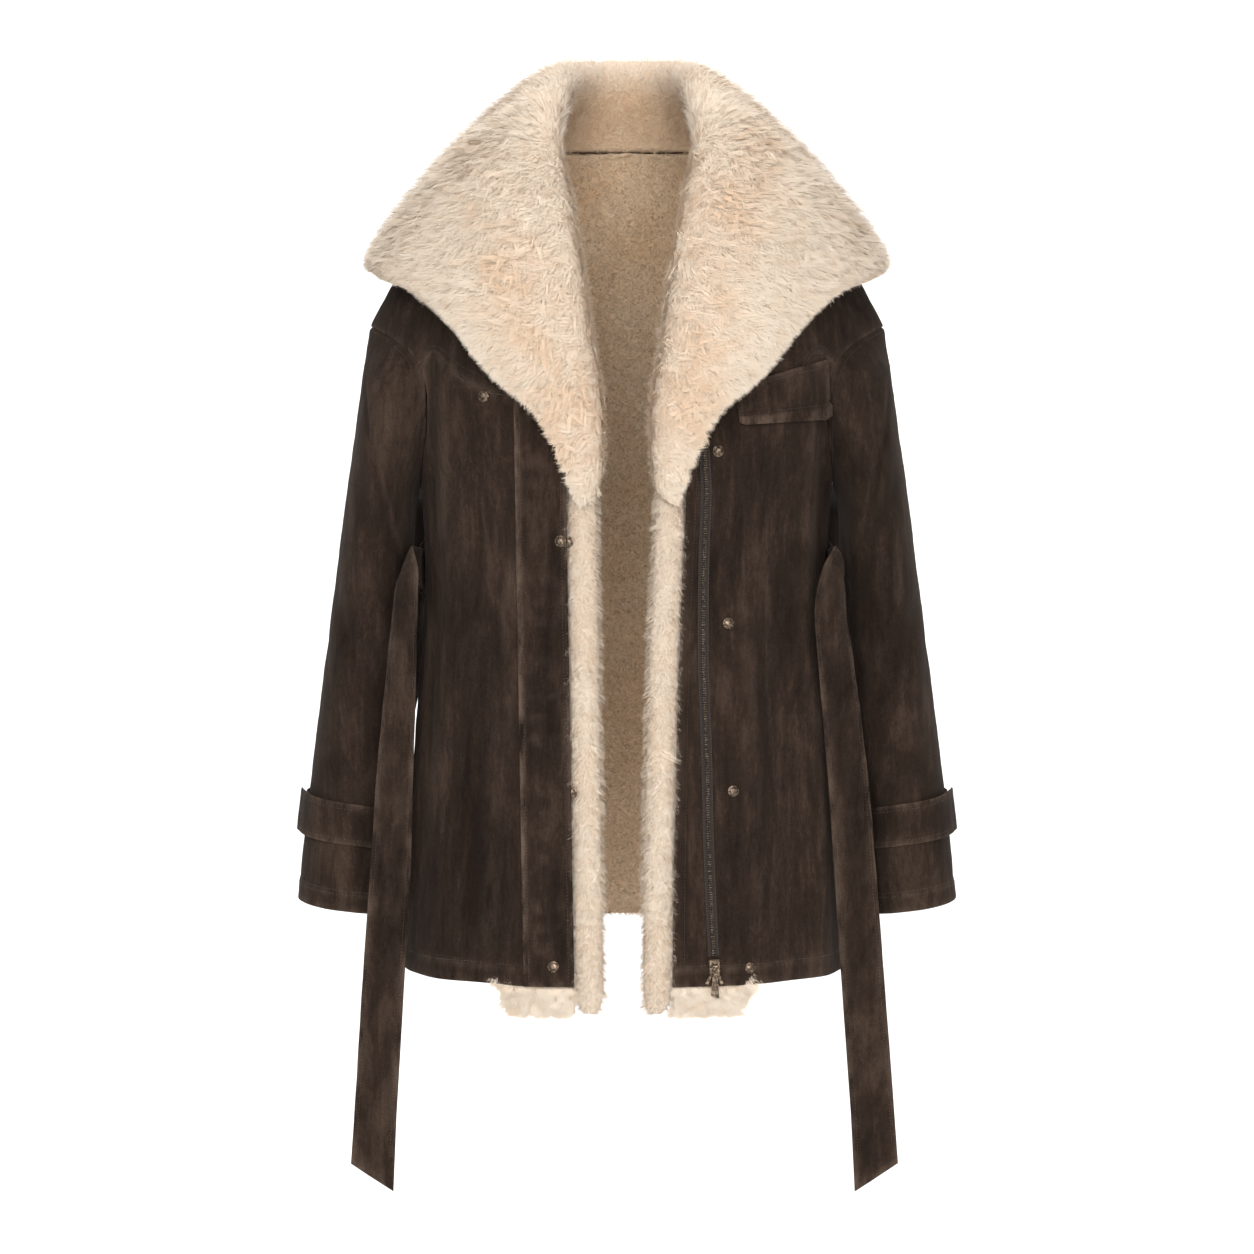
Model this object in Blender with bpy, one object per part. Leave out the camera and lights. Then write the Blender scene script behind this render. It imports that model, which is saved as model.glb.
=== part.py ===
"""Belted suede coat with a wide fur collar and a fur lining, worn open with its belt untied.

Left and right are the wearer's. Units are metres, +Z is up and the front faces -Y, so the wearer's
left is +X. The origin is the base of the neck, where the wearer's shoulders hold the coat.
The coat is a hollow shell: each cut panel is a wall through sections worked out from its sizes.
"""

import math
from typing import NamedTuple

import bmesh
import bpy
from mathutils import Matrix, Vector

LEFT, RIGHT = 1, -1
FRONT, BACK = -1, 1
SIDE_NAMES = {LEFT: "left", RIGHT: "right"}

# Walls and gaps
SUEDE = 0.002                # one layer of suede
SEAM = 0.0003                # gap between two pieces that are sewn together
PILE = 0.014                 # skin and clipped fur of the lining
LINING_GAP = 0.0009          # gap between the suede and the lining
OVERLAY_GAP = 0.0009         # gap under a flat piece on a curved front
FUR_DEPTH = SUEDE + LINING_GAP + PILE
FOLD_FADE = 0.12             # length over which a fold fades out at its ends

# Body
HEM_FRONT = -0.830
HEM_SIDE = -0.826
HEM_BACK = -0.784
UNDERARM = -0.320            # height of the bottom of the armholes
ROUNDNESS = 0.87             # power of the sections: 1 is an ellipse, less is squarer
NECK_POINT = (0.088, 0.010, 0.030)
NECK_BACK = (0.0, 0.095, 0.040)
SHOULDER_END = (0.268, 0.010, -0.159)
SHOULDER_DROOP = 1.9         # power of the shoulder seam's slope
NECKLINE_SHARE = 0.32        # share of the back's top edge that is neckline
YOKE_AT_EDGE = 0.156         # where the yoke seam meets the front edge, in the upper half
YOKE_RISE = 0.49             # how much further up it meets the armhole
YOKE_CURVE = 2.5

# Lining and facings
LINING_DROP = -0.857         # lowest point of the front linings, below the suede hem
LINING_SIDE = -0.820
LINING_BACK = -0.788
LINING_CORNER = 0.110        # distance from the centre where the front lining's hem turns up
LINING_CORNER_WIDTH = 0.028
FACING_WIDTH = 0.033
FACING_THICK = 0.018
FACING_SINK = 0.006          # how far the facing's middle lies behind the suede
FACING_SINK_TOP = 0.011      # the same, under the collar
FACING_SINK_HEIGHT = -0.375  # where it starts to go under the collar
FACING_SINK_LENGTH = 0.030
FACING_TOP = 1.36            # where it ends under the collar, as a height share
FACING_RINGS = 20
FACING_SIDES = 10
FACING_END_RINGS = 1.3       # rings over which its ends are rounded
FACING_BLUNT = 0.5           # size of its very ends, as a share
FACING_SQUARE = 0.75         # power of its section: 1 is an ellipse, less is squarer

# Sampling of the body: columns from a front edge or the centre back to the side, and rows
COLUMNS = 10
NECK_COLUMNS = 3
ROWS = 10
LOW_ARM_ROWS = 5             # rows along the armhole, below and above the end of the yoke seam
HIGH_ARM_ROWS = 4
SEARCH = ((-0.2, 0.999), (-0.1, 1.95))    # shares across and up between which a place is looked for
SEARCH_STEPS = 20

# Fastenings
PLACKET_WIDTH = 0.051
PLACKET_TOP = -0.235
ZIP_TAPE_WIDTH = 0.011
ZIP_TAPE_THICK = 0.0008
ZIP_CHAIN_WIDTH = 0.0044
ZIP_CHAIN_HEIGHT = 0.0024
ZIP_CHAIN_LIFT = OVERLAY_GAP + ZIP_TAPE_THICK + SEAM
ZIP_TOP = -0.290
ZIP_BOTTOM = -0.799
ZIP_ROWS = 18
STUD_RADIUS = 0.0058
STUD_HEIGHT = 0.0026
STUD_SIDES = 12
STUD_PROFILE = ((1.0, 0.0), (1.0, 0.35), (0.75, 1.0))    # shares of its radius and height

# Belt
BELT_WIDTH = 0.043
BELT_THICK = 0.003
BELT_GAP = 0.0009
BELT_HEIGHT = -0.412         # height of its middle across the back
BELT_SECTIONS = 16           # sections of each hanging end
BELT_TIP = 0.94              # share of a hanging end where its slanted tip starts
BELT_BOW = 0.4               # share of a curl's rise that stays in the middle of the belt
LOOP_WIDTH = 0.012
LOOP_HEIGHT = 0.060
LOOP_THICK = 0.0016
LOOP_STAND = BELT_THICK + 2 * BELT_GAP    # how far a loop stands off to let the belt through
LOOP_RAMP = 0.22             # share of half a loop over which it rises
LOOP_BACK = 0.012            # how far behind the side seam it lies

# Cuffs
STRAP_WIDTH = 0.043
STRAP_THICK = 0.0025
STRAP_TOP = -0.652
STRAP_GAP = 2 * SEAM
STRAP_START = 2              # column of the sleeve where the strap starts, forward of its outer side
STRAP_TURN = 400.0           # degrees that the strap goes round, so its end lies on its start
STRAP_CLIMB = (290.0, 350.0) # degrees between which it rises onto its start
STRAP_FLARE_START = 378.0    # from here its end stands proud
STRAP_FLARE = 0.0045

# Sleeves
SLEEVE_ROUNDNESS = 0.9
SLEEVE_TUCK = 0.020          # how far the inner back of a sleeve lies in behind the body
SLEEVE_TUCK_END = 6.5        # ring by which it is gone
SLEEVE_TUCK_FADE = 2.0       # rings over which it goes
SLEEVE_BULGE = 0.006         # rise of the sleeve head just below its seam
SLEEVE_EASE = 0.35           # how softly the sleeve leaves its seam
SLEEVE_UNDER = 0.12          # share of the armhole, from the underarm, where it hangs below its seam
SLEEVE_UNDER_BLEND = 0.30
SLEEVE_HEAD_ROWS = (0.0, 0.4, 1.0, 1.5, 2.0)
SLEEVE_LOW_ROWS = 12


class Section(NamedTuple):
    """Half widths and depths of the body at one height."""

    z: float
    right: float
    left: float
    front: float
    back: float


BODY = (
    Section(-0.830, 0.2300, 0.2250, 0.140, 0.134),
    Section(-0.700, 0.2250, 0.2200, 0.137, 0.130),
    Section(-0.590, 0.2195, 0.2150, 0.134, 0.125),
    Section(-0.430, 0.2105, 0.2070, 0.131, 0.119),
    Section(-0.320, 0.2135, 0.2135, 0.135, 0.126),
)


class Edge(NamedTuple):
    """Distance of a line from the coat's middle, by height."""

    z: float
    x: float


FRONT_EDGE = {
    RIGHT: (Edge(-0.870, 0.052), Edge(-0.700, 0.055), Edge(-0.500, 0.058), Edge(-0.320, 0.061)),
    LEFT: (Edge(-0.870, 0.045), Edge(-0.700, 0.047), Edge(-0.500, 0.052), Edge(-0.320, 0.060)),
}
ZIP_LINE = (
    Edge(-0.830, 0.0885), Edge(-0.790, 0.0865), Edge(-0.690, 0.082), Edge(-0.600, 0.080),
    Edge(-0.500, 0.0765), Edge(-0.400, 0.077), Edge(-0.330, 0.079), Edge(-0.280, 0.0765),
)


class Arm(NamedTuple):
    """One point of the armhole seam, from the underarm up to the end of the shoulder."""

    share: float
    x: float
    y_front: float
    y_back: float
    z: float


ARMHOLE = (
    Arm(0.00, 0.2135, 0.000, 0.000, -0.320),
    Arm(0.15, 0.2100, -0.038, 0.042, -0.300),
    Arm(0.35, 0.2070, -0.062, 0.070, -0.257),
    Arm(0.55, 0.2090, -0.072, 0.080, -0.217),
    Arm(0.72, 0.2190, -0.066, 0.075, -0.194),
    Arm(0.87, 0.2410, -0.040, 0.052, -0.175),
    Arm(1.00, 0.2680, 0.010, 0.010, -0.159),
)


class Ring(NamedTuple):
    """One section of a sleeve: the heights and places of its outer, inner, front and back sides."""

    z_outer: float
    z_inner: float
    outer: float
    inner: float
    front: float
    back: float


SLEEVE = (
    Ring(-0.200, -0.338, 0.2735, 0.2190, -0.078, 0.088),
    Ring(-0.262, -0.368, 0.2820, 0.2210, -0.081, 0.093),
    Ring(-0.340, -0.410, 0.2935, 0.2225, -0.077, 0.094),
    Ring(-0.430, -0.475, 0.3055, 0.2265, -0.070, 0.092),
    Ring(-0.520, -0.550, 0.3175, 0.2310, -0.062, 0.088),
    Ring(-0.610, -0.630, 0.3290, 0.2380, -0.056, 0.083),
    Ring(-0.690, -0.706, 0.3385, 0.2450, -0.051, 0.077),
    Ring(-0.757, -0.772, 0.3455, 0.2510, -0.047, 0.072),
)


class Fold(NamedTuple):
    """One soft upright fold: its side, face, place round the body, heights, width and rise."""

    side: int
    face: int
    turn: float
    bottom: float
    top: float
    width: float
    rise: float


FOLDS = (
    Fold(RIGHT, FRONT, 24.0, -0.95, -0.25, 7.0, 0.0040),
    Fold(RIGHT, FRONT, 37.0, -0.90, -0.42, 8.0, -0.0035),
    Fold(RIGHT, FRONT, 52.0, -1.00, -0.36, 9.0, 0.0045),
    Fold(RIGHT, FRONT, 67.0, -0.80, -0.24, 7.0, -0.0040),
    Fold(LEFT, FRONT, 30.0, -1.00, -0.40, 8.0, 0.0035),
    Fold(LEFT, FRONT, 45.0, -0.86, -0.30, 8.0, -0.0035),
    Fold(LEFT, FRONT, 60.0, -1.00, -0.34, 9.0, 0.0045),
    Fold(LEFT, FRONT, 70.0, -0.70, -0.22, 6.0, -0.0040),
    Fold(RIGHT, BACK, 20.0, -0.95, -0.30, 9.0, 0.0045),
    Fold(RIGHT, BACK, 44.0, -0.85, -0.42, 8.0, -0.0040),
    Fold(RIGHT, BACK, 62.0, -0.98, -0.28, 9.0, 0.0050),
    Fold(LEFT, BACK, 14.0, -0.80, -0.44, 7.0, -0.0035),
    Fold(LEFT, BACK, 34.0, -0.96, -0.26, 9.0, 0.0050),
    Fold(LEFT, BACK, 56.0, -0.90, -0.40, 8.0, -0.0040),
)


class Crease(NamedTuple):
    """One slanting crease across a sleeve: its place round it and along it, size and rise."""

    turn: float
    along: float
    slant: float
    width: float
    reach: float
    rise: float


CREASES = (
    Crease(95.0, 3.05, 0.55, 0.26, 50.0, -0.0040),
    Crease(120.0, 3.85, -0.45, 0.24, 46.0, -0.0042),
    Crease(70.0, 4.55, 0.50, 0.26, 40.0, -0.0036),
    Crease(250.0, 3.40, -0.50, 0.26, 52.0, -0.0042),
    Crease(285.0, 4.30, 0.45, 0.24, 44.0, -0.0040),
    Crease(235.0, 2.30, 0.60, 0.26, 44.0, -0.0036),
)


class Fall(NamedTuple):
    """One section of the collar's skin: its foot, crest, fall and edge, and how deep its fur is."""

    foot: tuple
    crest: tuple
    fall: tuple
    edge: tuple
    fur: float
    foot_fur: float


COLLAR = (
    Fall((0.034, -0.1335, -0.334), (0.036, -0.1400, -0.337), (0.041, -0.1420, -0.340),
         (0.047, -0.1400, -0.343), 0.012, 0.003),
    Fall((0.043, -0.1340, -0.288), (0.037, -0.1435, -0.290), (0.050, -0.1470, -0.292),
         (0.062, -0.1440, -0.297), 0.018, 0.003),
    Fall((0.053, -0.1280, -0.235), (0.042, -0.1455, -0.238), (0.064, -0.1500, -0.243),
         (0.088, -0.1460, -0.250), 0.022, 0.003),
    Fall((0.062, -0.1190, -0.175), (0.052, -0.1440, -0.178), (0.088, -0.1490, -0.195),
         (0.130, -0.1380, -0.214), 0.024, 0.003),
    Fall((0.068, -0.1055, -0.115), (0.062, -0.1340, -0.114), (0.112, -0.1400, -0.142),
         (0.172, -0.1210, -0.163), 0.025, 0.003),
    Fall((0.075, -0.0848, -0.055), (0.074, -0.1110, -0.045), (0.135, -0.1180, -0.087),
         (0.212, -0.0930, -0.131), 0.025, 0.004),
    Fall((0.0832, -0.0468, 0.0040), (0.088, -0.0680, 0.030), (0.157, -0.0700, -0.017),
         (0.253, -0.0500, -0.113), 0.025, 0.008),
    Fall((0.087, 0.0020, 0.0300), (0.077, -0.0080, 0.082), (0.157, 0.0020, 0.026),
         (0.2645, 0.0080, -0.098), 0.025, 0.011),
    Fall((0.079, 0.0480, 0.0352), (0.066, 0.0480, 0.102), (0.133, 0.0740, 0.032),
         (0.236, 0.0780, -0.106), 0.025, 0.012),
    Fall((0.048, 0.0830, 0.0392), (0.038, 0.0900, 0.110), (0.078, 0.1280, 0.038),
         (0.130, 0.1240, -0.130), 0.025, 0.012),
    Fall((0.000, 0.0960, 0.0402), (0.000, 0.1030, 0.112), (0.000, 0.1430, 0.040),
         (0.000, 0.1400, -0.142), 0.025, 0.012),
)
COLLAR_SKIN = 0.003
COLLAR_PLACES = (0.0, 0.27, 0.62, 1.0)    # where foot, crest, fall and edge lie across it
COLLAR_SPANS = 40
COLLAR_OVERS = (0.0, 0.12, 0.22, 0.32, 0.45, 0.62, 0.78, 0.90, 0.97, 1.0)
COLLAR_FOOT = 0.30           # share across it over which the fur grows to its full depth
COLLAR_ROUND = 0.22          # share across it over which its outer edge is rounded
COLLAR_EDGE_DEPTH = 0.28     # depth of the fur at the very edge, as a share
COLLAR_END = 0.045           # share along it over which its ends are rounded
COLLAR_END_DEPTH = 0.40


class Hang(NamedTuple):
    """One section of a hanging belt end: its place, width, the way it faces and its curl."""

    x: float
    y: float
    z: float
    width: float
    facing: float
    curl: float


BELT_END = {
    LEFT: (
        Hang(0.2105, -0.012, -0.4120, 0.0430, 0.0, 0.000),
        Hang(0.2125, -0.040, -0.4080, 0.0400, 6.0, 0.004),
        Hang(0.2170, -0.066, -0.4040, 0.0340, 26.0, 0.008),
        Hang(0.2120, -0.086, -0.4200, 0.0330, 56.0, 0.010),
        Hang(0.2080, -0.093, -0.4550, 0.0355, 76.0, 0.009),
        Hang(0.2145, -0.093, -0.5200, 0.0390, 82.0, 0.006),
        Hang(0.2250, -0.090, -0.6200, 0.0420, 85.0, 0.003),
        Hang(0.2330, -0.086, -0.7200, 0.0435, 88.0, 0.002),
        Hang(0.2405, -0.083, -0.8200, 0.0445, 92.0, 0.002),
        Hang(0.2490, -0.081, -0.9300, 0.0450, 90.0, 0.001),
        Hang(0.2560, -0.080, -1.0220, 0.0450, 90.0, 0.001),
    ),
    RIGHT: (
        Hang(0.2137, -0.012, -0.4120, 0.0430, 0.0, 0.000),
        Hang(0.2160, -0.040, -0.4080, 0.0400, 6.0, 0.004),
        Hang(0.2230, -0.066, -0.4035, 0.0320, 26.0, 0.006),
        Hang(0.2245, -0.087, -0.4190, 0.0280, 58.0, 0.007),
        Hang(0.2265, -0.094, -0.4550, 0.0280, 76.0, 0.009),
        Hang(0.2300, -0.094, -0.5200, 0.0330, 82.0, 0.006),
        Hang(0.2365, -0.091, -0.6200, 0.0385, 86.0, 0.003),
        Hang(0.2415, -0.087, -0.7200, 0.0420, 92.0, 0.002),
        Hang(0.2485, -0.084, -0.8200, 0.0435, 90.0, 0.002),
        Hang(0.2555, -0.082, -0.9300, 0.0440, 86.0, 0.001),
        Hang(0.2615, -0.081, -1.0220, 0.0440, 90.0, 0.001),
    ),
}
BELT_TIP_SLANT = 0.026       # the tips are cut aslant, longer on the inner side


class Stud(NamedTuple):
    """One press stud on a front."""

    name: str
    side: int
    x: float
    z: float
    lift: float


STUDS = (
    Stud("stud_right_chest", RIGHT, 0.144, -0.236, 0.0),
    Stud("stud_right_top", RIGHT, 0.0665, -0.381, SUEDE + OVERLAY_GAP),
    Stud("stud_right_hem", RIGHT, 0.074, -0.809, SUEDE + OVERLAY_GAP),
    Stud("stud_left_top", LEFT, 0.0915, -0.291, 0.0),
    Stud("stud_left_waist", LEFT, 0.102, -0.464, 0.0),
    Stud("stud_left_low", LEFT, 0.107, -0.633, 0.0),
    Stud("stud_left_hem", LEFT, 0.1245, -0.812, -0.0011),
)
EDGE_STUDS = (Edge(-0.382, 0.0), Edge(-0.634, 0.0))
EDGE_STUD_LIFT = 0.0034

# Pocket flap: its corners are places on the left front, from the middle and up
FLAP_TOP_IN = (0.108, -0.226)
FLAP_TOP_OUT = (0.2030, -0.1970)
FLAP_LOW_IN = (0.112, -0.265)
FLAP_LOW_OUT = (0.2045, -0.258)
FLAP_GAP = 0.0019
FLAP_THICK = 0.0024
FLAP_ROLL = 0.0022           # how much thicker its stitched lower edge is
FLAP_ROLL_START = 0.70
FLAP_ROLL_LENGTH = 0.15

# Zip slider and pull
SLIDER_SIZE = (0.0120, 0.0050, 0.0170)
SLIDER_Z = -0.8105
SLIDER_LEG = (0.0030, 0.0026, 0.0150)
SLIDER_LEG_SPLAY = 24.0      # degrees that its two crossing legs lean
SLIDER_BEVEL = 0.0011
SLIDER_PIN_UP = 0.12         # height of the pin above its middle, as a share of its height
EAR_SINK = 0.0008
EAR_HEIGHT = 0.0034
EAR_REACH = 0.0016
PIN_RADIUS = 0.0008
PIN_CLEARANCE = 0.0004
PULL_EYE_RADIUS = 0.0021
PULL_EYE_WIDTH = 0.0042
PULL_WIDTH = 0.0080
PULL_LENGTH = 0.0310
PULL_THICK = 0.0015
PULL_HOLE = 0.0016
PULL_SLANT = 0.0025
EAR_WIDTH = 0.0014
PULL_HOLE_UP = 0.0042        # height of the hole above the tab's lower end
PULL_NECK = 0.5              # width of the tab at the eye, as a share
BORE = 0.010                 # length of the round cutters


# ---------------------------------------------------------------- reading tables


def read_curve(knots, values, at):
    """Value at a place on the smooth curve through the values at the knots."""
    last = len(knots) - 2
    index = 0
    while index < last and at > knots[index + 1]:
        index += 1

    def slope(k):
        before, after = max(k - 1, 0), min(k + 1, len(knots) - 1)
        return (values[after] - values[before]) / (knots[after] - knots[before])

    span = knots[index + 1] - knots[index]
    t = (at - knots[index]) / span
    start = values[index] * (1 + 2 * t) * (1 - t) ** 2
    end = values[index + 1] * t * t * (3 - 2 * t)
    leave = slope(index) * span * t * (1 - t) ** 2
    arrive = slope(index + 1) * span * t * t * (t - 1)
    return start + end + leave + arrive


def read_column(rows, key, column, at):
    """Value of one named column of a table at a place in its key column."""
    return read_curve([getattr(row, key) for row in rows],
                      [getattr(row, column) for row in rows], at)


def power(value, exponent):
    """Power that keeps the sign of its base."""
    return math.copysign(abs(value) ** exponent, value)


def smooth(value):
    """Ease from 0 to 1 as the value goes from 0 to 1."""
    value = min(max(value, 0.0), 1.0)
    return value * value * (3 - 2 * value)


def mix(a, b, share):
    """Value between a and b."""
    return a + (b - a) * share


# ---------------------------------------------------------------- the body's surface


def fold_rise(side, face, turn, z):
    """How far the folds push the cloth out at a place on the body."""
    rise = 0.0
    for fold in FOLDS:
        if fold.side != side or fold.face != face:
            continue
        across = (math.degrees(turn) - fold.turn) / fold.width
        along = smooth((z - fold.bottom) / FOLD_FADE) * smooth((fold.top - z) / FOLD_FADE)
        rise += fold.rise * math.exp(-across * across) * along
    return rise


def body_width(side, z):
    """Half width of the body on one side."""
    return read_column(BODY, "z", "left" if side == LEFT else "right", z)


def turn_at(side, x, z):
    """Angle round the section, from the centre line, of a distance from the coat's middle."""
    share = min(abs(x) / body_width(side, z), 1.0)
    return math.asin(share ** (1 / ROUNDNESS))


def around(side, face, turn, z):
    """Point on the straight part of the body, below the underarm."""
    wide = body_width(side, z)
    deep = read_column(BODY, "z", "front" if face == FRONT else "back", z)
    rise = fold_rise(side, face, turn, z)
    x = (wide + rise) * power(math.sin(turn), ROUNDNESS)
    y = (deep + rise) * power(math.cos(turn), ROUNDNESS)
    return Vector((side * x, face * y, z))


def shell_hem(face, turn):
    """Height of the suede hem, higher at the back."""
    middle = HEM_FRONT if face == FRONT else HEM_BACK
    return mix(middle, HEM_SIDE, math.sin(turn) ** 2)


def lining_hem(face, turn):
    """Height of the lining's hem: the fronts hang below the suede near the front edges."""
    if face == BACK:
        return mix(LINING_BACK, LINING_SIDE, math.sin(turn) ** 2)
    x = BODY[0].left * power(math.sin(turn), ROUNDNESS)
    return mix(LINING_DROP, LINING_SIDE, smooth((x - LINING_CORNER) / LINING_CORNER_WIDTH))


def ridge(face, share):
    """Top edge of a body half: the back's neckline, and the shoulder seam."""
    neck = NECKLINE_SHARE if face == BACK else 0.0
    if neck and share < neck:
        turn = share / neck * math.pi / 2
        return Vector((NECK_POINT[0] * math.sin(turn),
                       mix(NECK_POINT[1], NECK_BACK[1], math.cos(turn)),
                       mix(NECK_POINT[2], NECK_BACK[2], math.cos(turn))))
    along = (share - neck) / (1 - neck)
    droop = power(along, SHOULDER_DROOP)
    return Vector((mix(NECK_POINT[0], SHOULDER_END[0], along), NECK_POINT[1],
                   mix(NECK_POINT[2], SHOULDER_END[2], droop)))


def armhole(face, share):
    """Point of the armhole seam, read as one closed loop."""
    near, far = ("y_front", "y_back") if face == FRONT else ("y_back", "y_front")
    first, last = ARMHOLE[1], ARMHOLE[-2]
    knots = [-first.share] + [row.share for row in ARMHOLE] + [2.0 - last.share]
    point = []
    for name, beyond in (("x", "x"), (near, far), ("z", "z")):
        values = [getattr(row, name) for row in ARMHOLE]
        values = [getattr(first, beyond)] + values + [getattr(last, beyond)]
        point.append(read_curve(knots, values, share))
    return Vector(point)


class Panel(NamedTuple):
    """One half of the body's front or back, from a front edge or centre line to the side."""

    side: int
    face: int
    edge: tuple

    def start_turn(self, z):
        """Angle of the panel's front edge, or 0 at the centre back."""
        if not self.edge:
            return 0.0
        return turn_at(self.side, read_column(self.edge, "z", "x", z), z)

    def foot(self, across, z):
        """Point on the straight part."""
        return around(self.side, self.face, mix(self.start_turn(z), math.pi / 2, across), z)

    def hem_turn(self, across):
        """Angle round the hem."""
        return min(max(mix(self.start_turn(HEM_FRONT), math.pi / 2, across), 0.0), math.pi / 2)

    def lining_start(self, across):
        """Where the lining's hem lies, on the scale of the suede: below 0 it hangs under it."""
        turn = self.hem_turn(across)
        low = shell_hem(self.face, turn)
        return (lining_hem(self.face, turn) - low) / (UNDERARM - low)

    def surface(self, across, up):
        """Point at a share across the panel: up is 0 at the hem, 1 at the underarm, 2 on top."""
        if up <= 1.0:
            return self.foot(across, mix(shell_hem(self.face, self.hem_turn(across)), UNDERARM, up))
        share = up - 1.0
        lean = 1 - math.cos(share * math.pi / 2)
        climb = math.sin(share * math.pi / 2)
        shares = Vector((smooth(share), lean, climb))
        flip = Vector((self.side, 1, 1))
        bottom, top = self.foot(across, UNDERARM), ridge(self.face, across) * flip
        arm = armhole(self.face, share) * flip
        side_low, side_top = self.foot(1.0, UNDERARM), ridge(self.face, 1.0) * flip
        point = Vector()
        for axis in range(3):
            ruled = mix(bottom[axis], top[axis], shares[axis])
            straight = mix(side_low[axis], side_top[axis], shares[axis])
            point[axis] = ruled + (arm[axis] - straight) * across
        return point

    def normal(self, across, up):
        """Outward direction of the cloth."""
        step = 0.002
        up = up if abs(up - 1.0) > step else 1.0 - 2 * step
        run = self.surface(across + step, up) - self.surface(across - step, up)
        rise = self.surface(across, up + step) - self.surface(across, up - step)
        return (run.cross(rise) * -self.side * self.face).normalized()

    def lifted(self, across, up, lift):
        """Point off the cloth by a distance."""
        return self.surface(across, up) + self.normal(across, up) * lift

    def place(self, x, z):
        """Across and up of the point that lies at a distance from the middle and a height."""
        across, up = min(x / body_width(self.side, z), SEARCH[0][1]), 1.0
        if z < UNDERARM:
            up = (z - HEM_FRONT) / (UNDERARM - HEM_FRONT)
        step = 0.001
        for _ in range(SEARCH_STEPS):
            across, up = (min(max(value, low), high)
                          for value, (low, high) in zip((across, up), SEARCH))
            here = self.surface(across, up)
            run = (self.surface(across + step, up) - here) / step
            rise = (self.surface(across, up + step) - here) / step
            miss_x, miss_z = self.side * x - here.x, z - here.z
            area = run.x * rise.z - run.z * rise.x
            across += (miss_x * rise.z - miss_z * rise.x) / area
            up += (run.x * miss_z - run.z * miss_x) / area
        return across, up

    def at(self, x, z, lift=0.0):
        """Point off the cloth, by its distance from the middle and its height."""
        return self.lifted(*self.place(x, z), lift)


BODY_PANELS = {(side, face): Panel(side, face, FRONT_EDGE[side] if face == FRONT else ())
               for side in (LEFT, RIGHT) for face in (FRONT, BACK)}


def yoke_seam(across):
    """Height share of the yoke seam, which rises towards the armhole."""
    return 1.0 + YOKE_AT_EDGE + YOKE_RISE * max(across, 0.0) ** YOKE_CURVE


# ---------------------------------------------------------------- solids


def finish(name, color, roughness, metallic=0.0):
    """Plain material of a piece."""
    material = bpy.data.materials.new(name)
    material.use_nodes = True
    shader = material.node_tree.nodes["Principled BSDF"]
    shader.inputs["Base Color"].default_value = (*color, 1.0)
    shader.inputs["Roughness"].default_value = roughness
    shader.inputs["Metallic"].default_value = metallic
    return material


def add_object(name, mesh, material, flat_angle=40.0):
    """Put a mesh in the scene as one named piece."""
    mesh.materials.append(material)
    mesh.shade_smooth()
    mesh.set_sharp_from_angle(angle=math.radians(flat_angle))
    piece = bpy.data.objects.new(name, mesh)
    bpy.context.collection.objects.link(piece)
    return piece


def mesh_of(name, points, faces):
    """Mesh from points and faces, with its faces turned out."""
    mesh = bpy.data.meshes.new(name)
    mesh.from_pydata(points, [], faces)
    body = bmesh.new()
    body.from_mesh(mesh)
    bmesh.ops.recalc_face_normals(body, faces=body.faces)
    if body.calc_volume(signed=True) < 0:
        bmesh.ops.reverse_faces(body, faces=body.faces)
    body.to_mesh(mesh)
    body.free()
    return mesh


def sew_edges(grid, closed):
    """Draw a grid's borders in by half a seam, so that it stays clear of its neighbours."""
    half = SEAM / 2
    for row, inner in ((0, 1), (-1, -2)):
        for column, point in enumerate(grid[row]):
            point += (grid[inner][column] - point).normalized() * half
    if not closed:
        for line in grid:
            for column, inner in ((0, 1), (-1, -2)):
                line[column] += (line[inner] - line[column]).normalized() * half


def wall(name, outer, inner, material, closed=False):
    """Cloth: a closed wall between two grids of points, or a tube where its rows are closed."""
    sew_edges(outer, closed)
    sew_edges(inner, closed)
    rows, columns = len(outer), len(outer[0])
    points = [point for grid in (outer, inner) for row in grid for point in row]
    half = rows * columns
    faces = []

    for i in range(rows - 1):
        for j in range(columns if closed else columns - 1):
            k = (j + 1) % columns
            a, b = i * columns + j, i * columns + k
            c, d = (i + 1) * columns + k, (i + 1) * columns + j
            faces += [[a, b, c], [a, c, d]]
            faces += [[half + c, half + b, half + a], [half + d, half + c, half + a]]
    for i in (0, rows - 1):
        for j in range(columns if closed else columns - 1):
            a, b = i * columns + j, i * columns + (j + 1) % columns
            faces.append([a, b, half + b, half + a] if i else [b, a, half + a, half + b])
    if not closed:
        for j in (0, columns - 1):
            for i in range(rows - 1):
                a, b = i * columns + j, (i + 1) * columns + j
                faces.append([b, a, half + a, half + b] if j else [a, b, half + b, half + a])
    return add_object(name, mesh_of(name, points, faces), material)


def shares(count, start=0.0, end=1.0):
    """Even shares from start to end."""
    return [mix(start, end, index / count) for index in range(count + 1)]


def panel_wall(name, columns, lifts, material):
    """Wall over a list of columns, each one a list of panel, across and up."""
    grids = [[[panel.lifted(across, up, lift) for panel, across, up in row] for row in columns]
             for lift in lifts]
    return wall(name, grids[0], grids[1], material)


# ---------------------------------------------------------------- suede shell


def low_rows(panel):
    """Rows of a front from its hem to the yoke seam."""
    straight = [[(panel, s, up) for s in shares(COLUMNS)] for up in shares(ROWS)]
    return straight + [[(panel, s, mix(1.0, yoke_seam(s), share)) for s in shares(COLUMNS)]
                       for share in shares(LOW_ARM_ROWS)[1:]]


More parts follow.
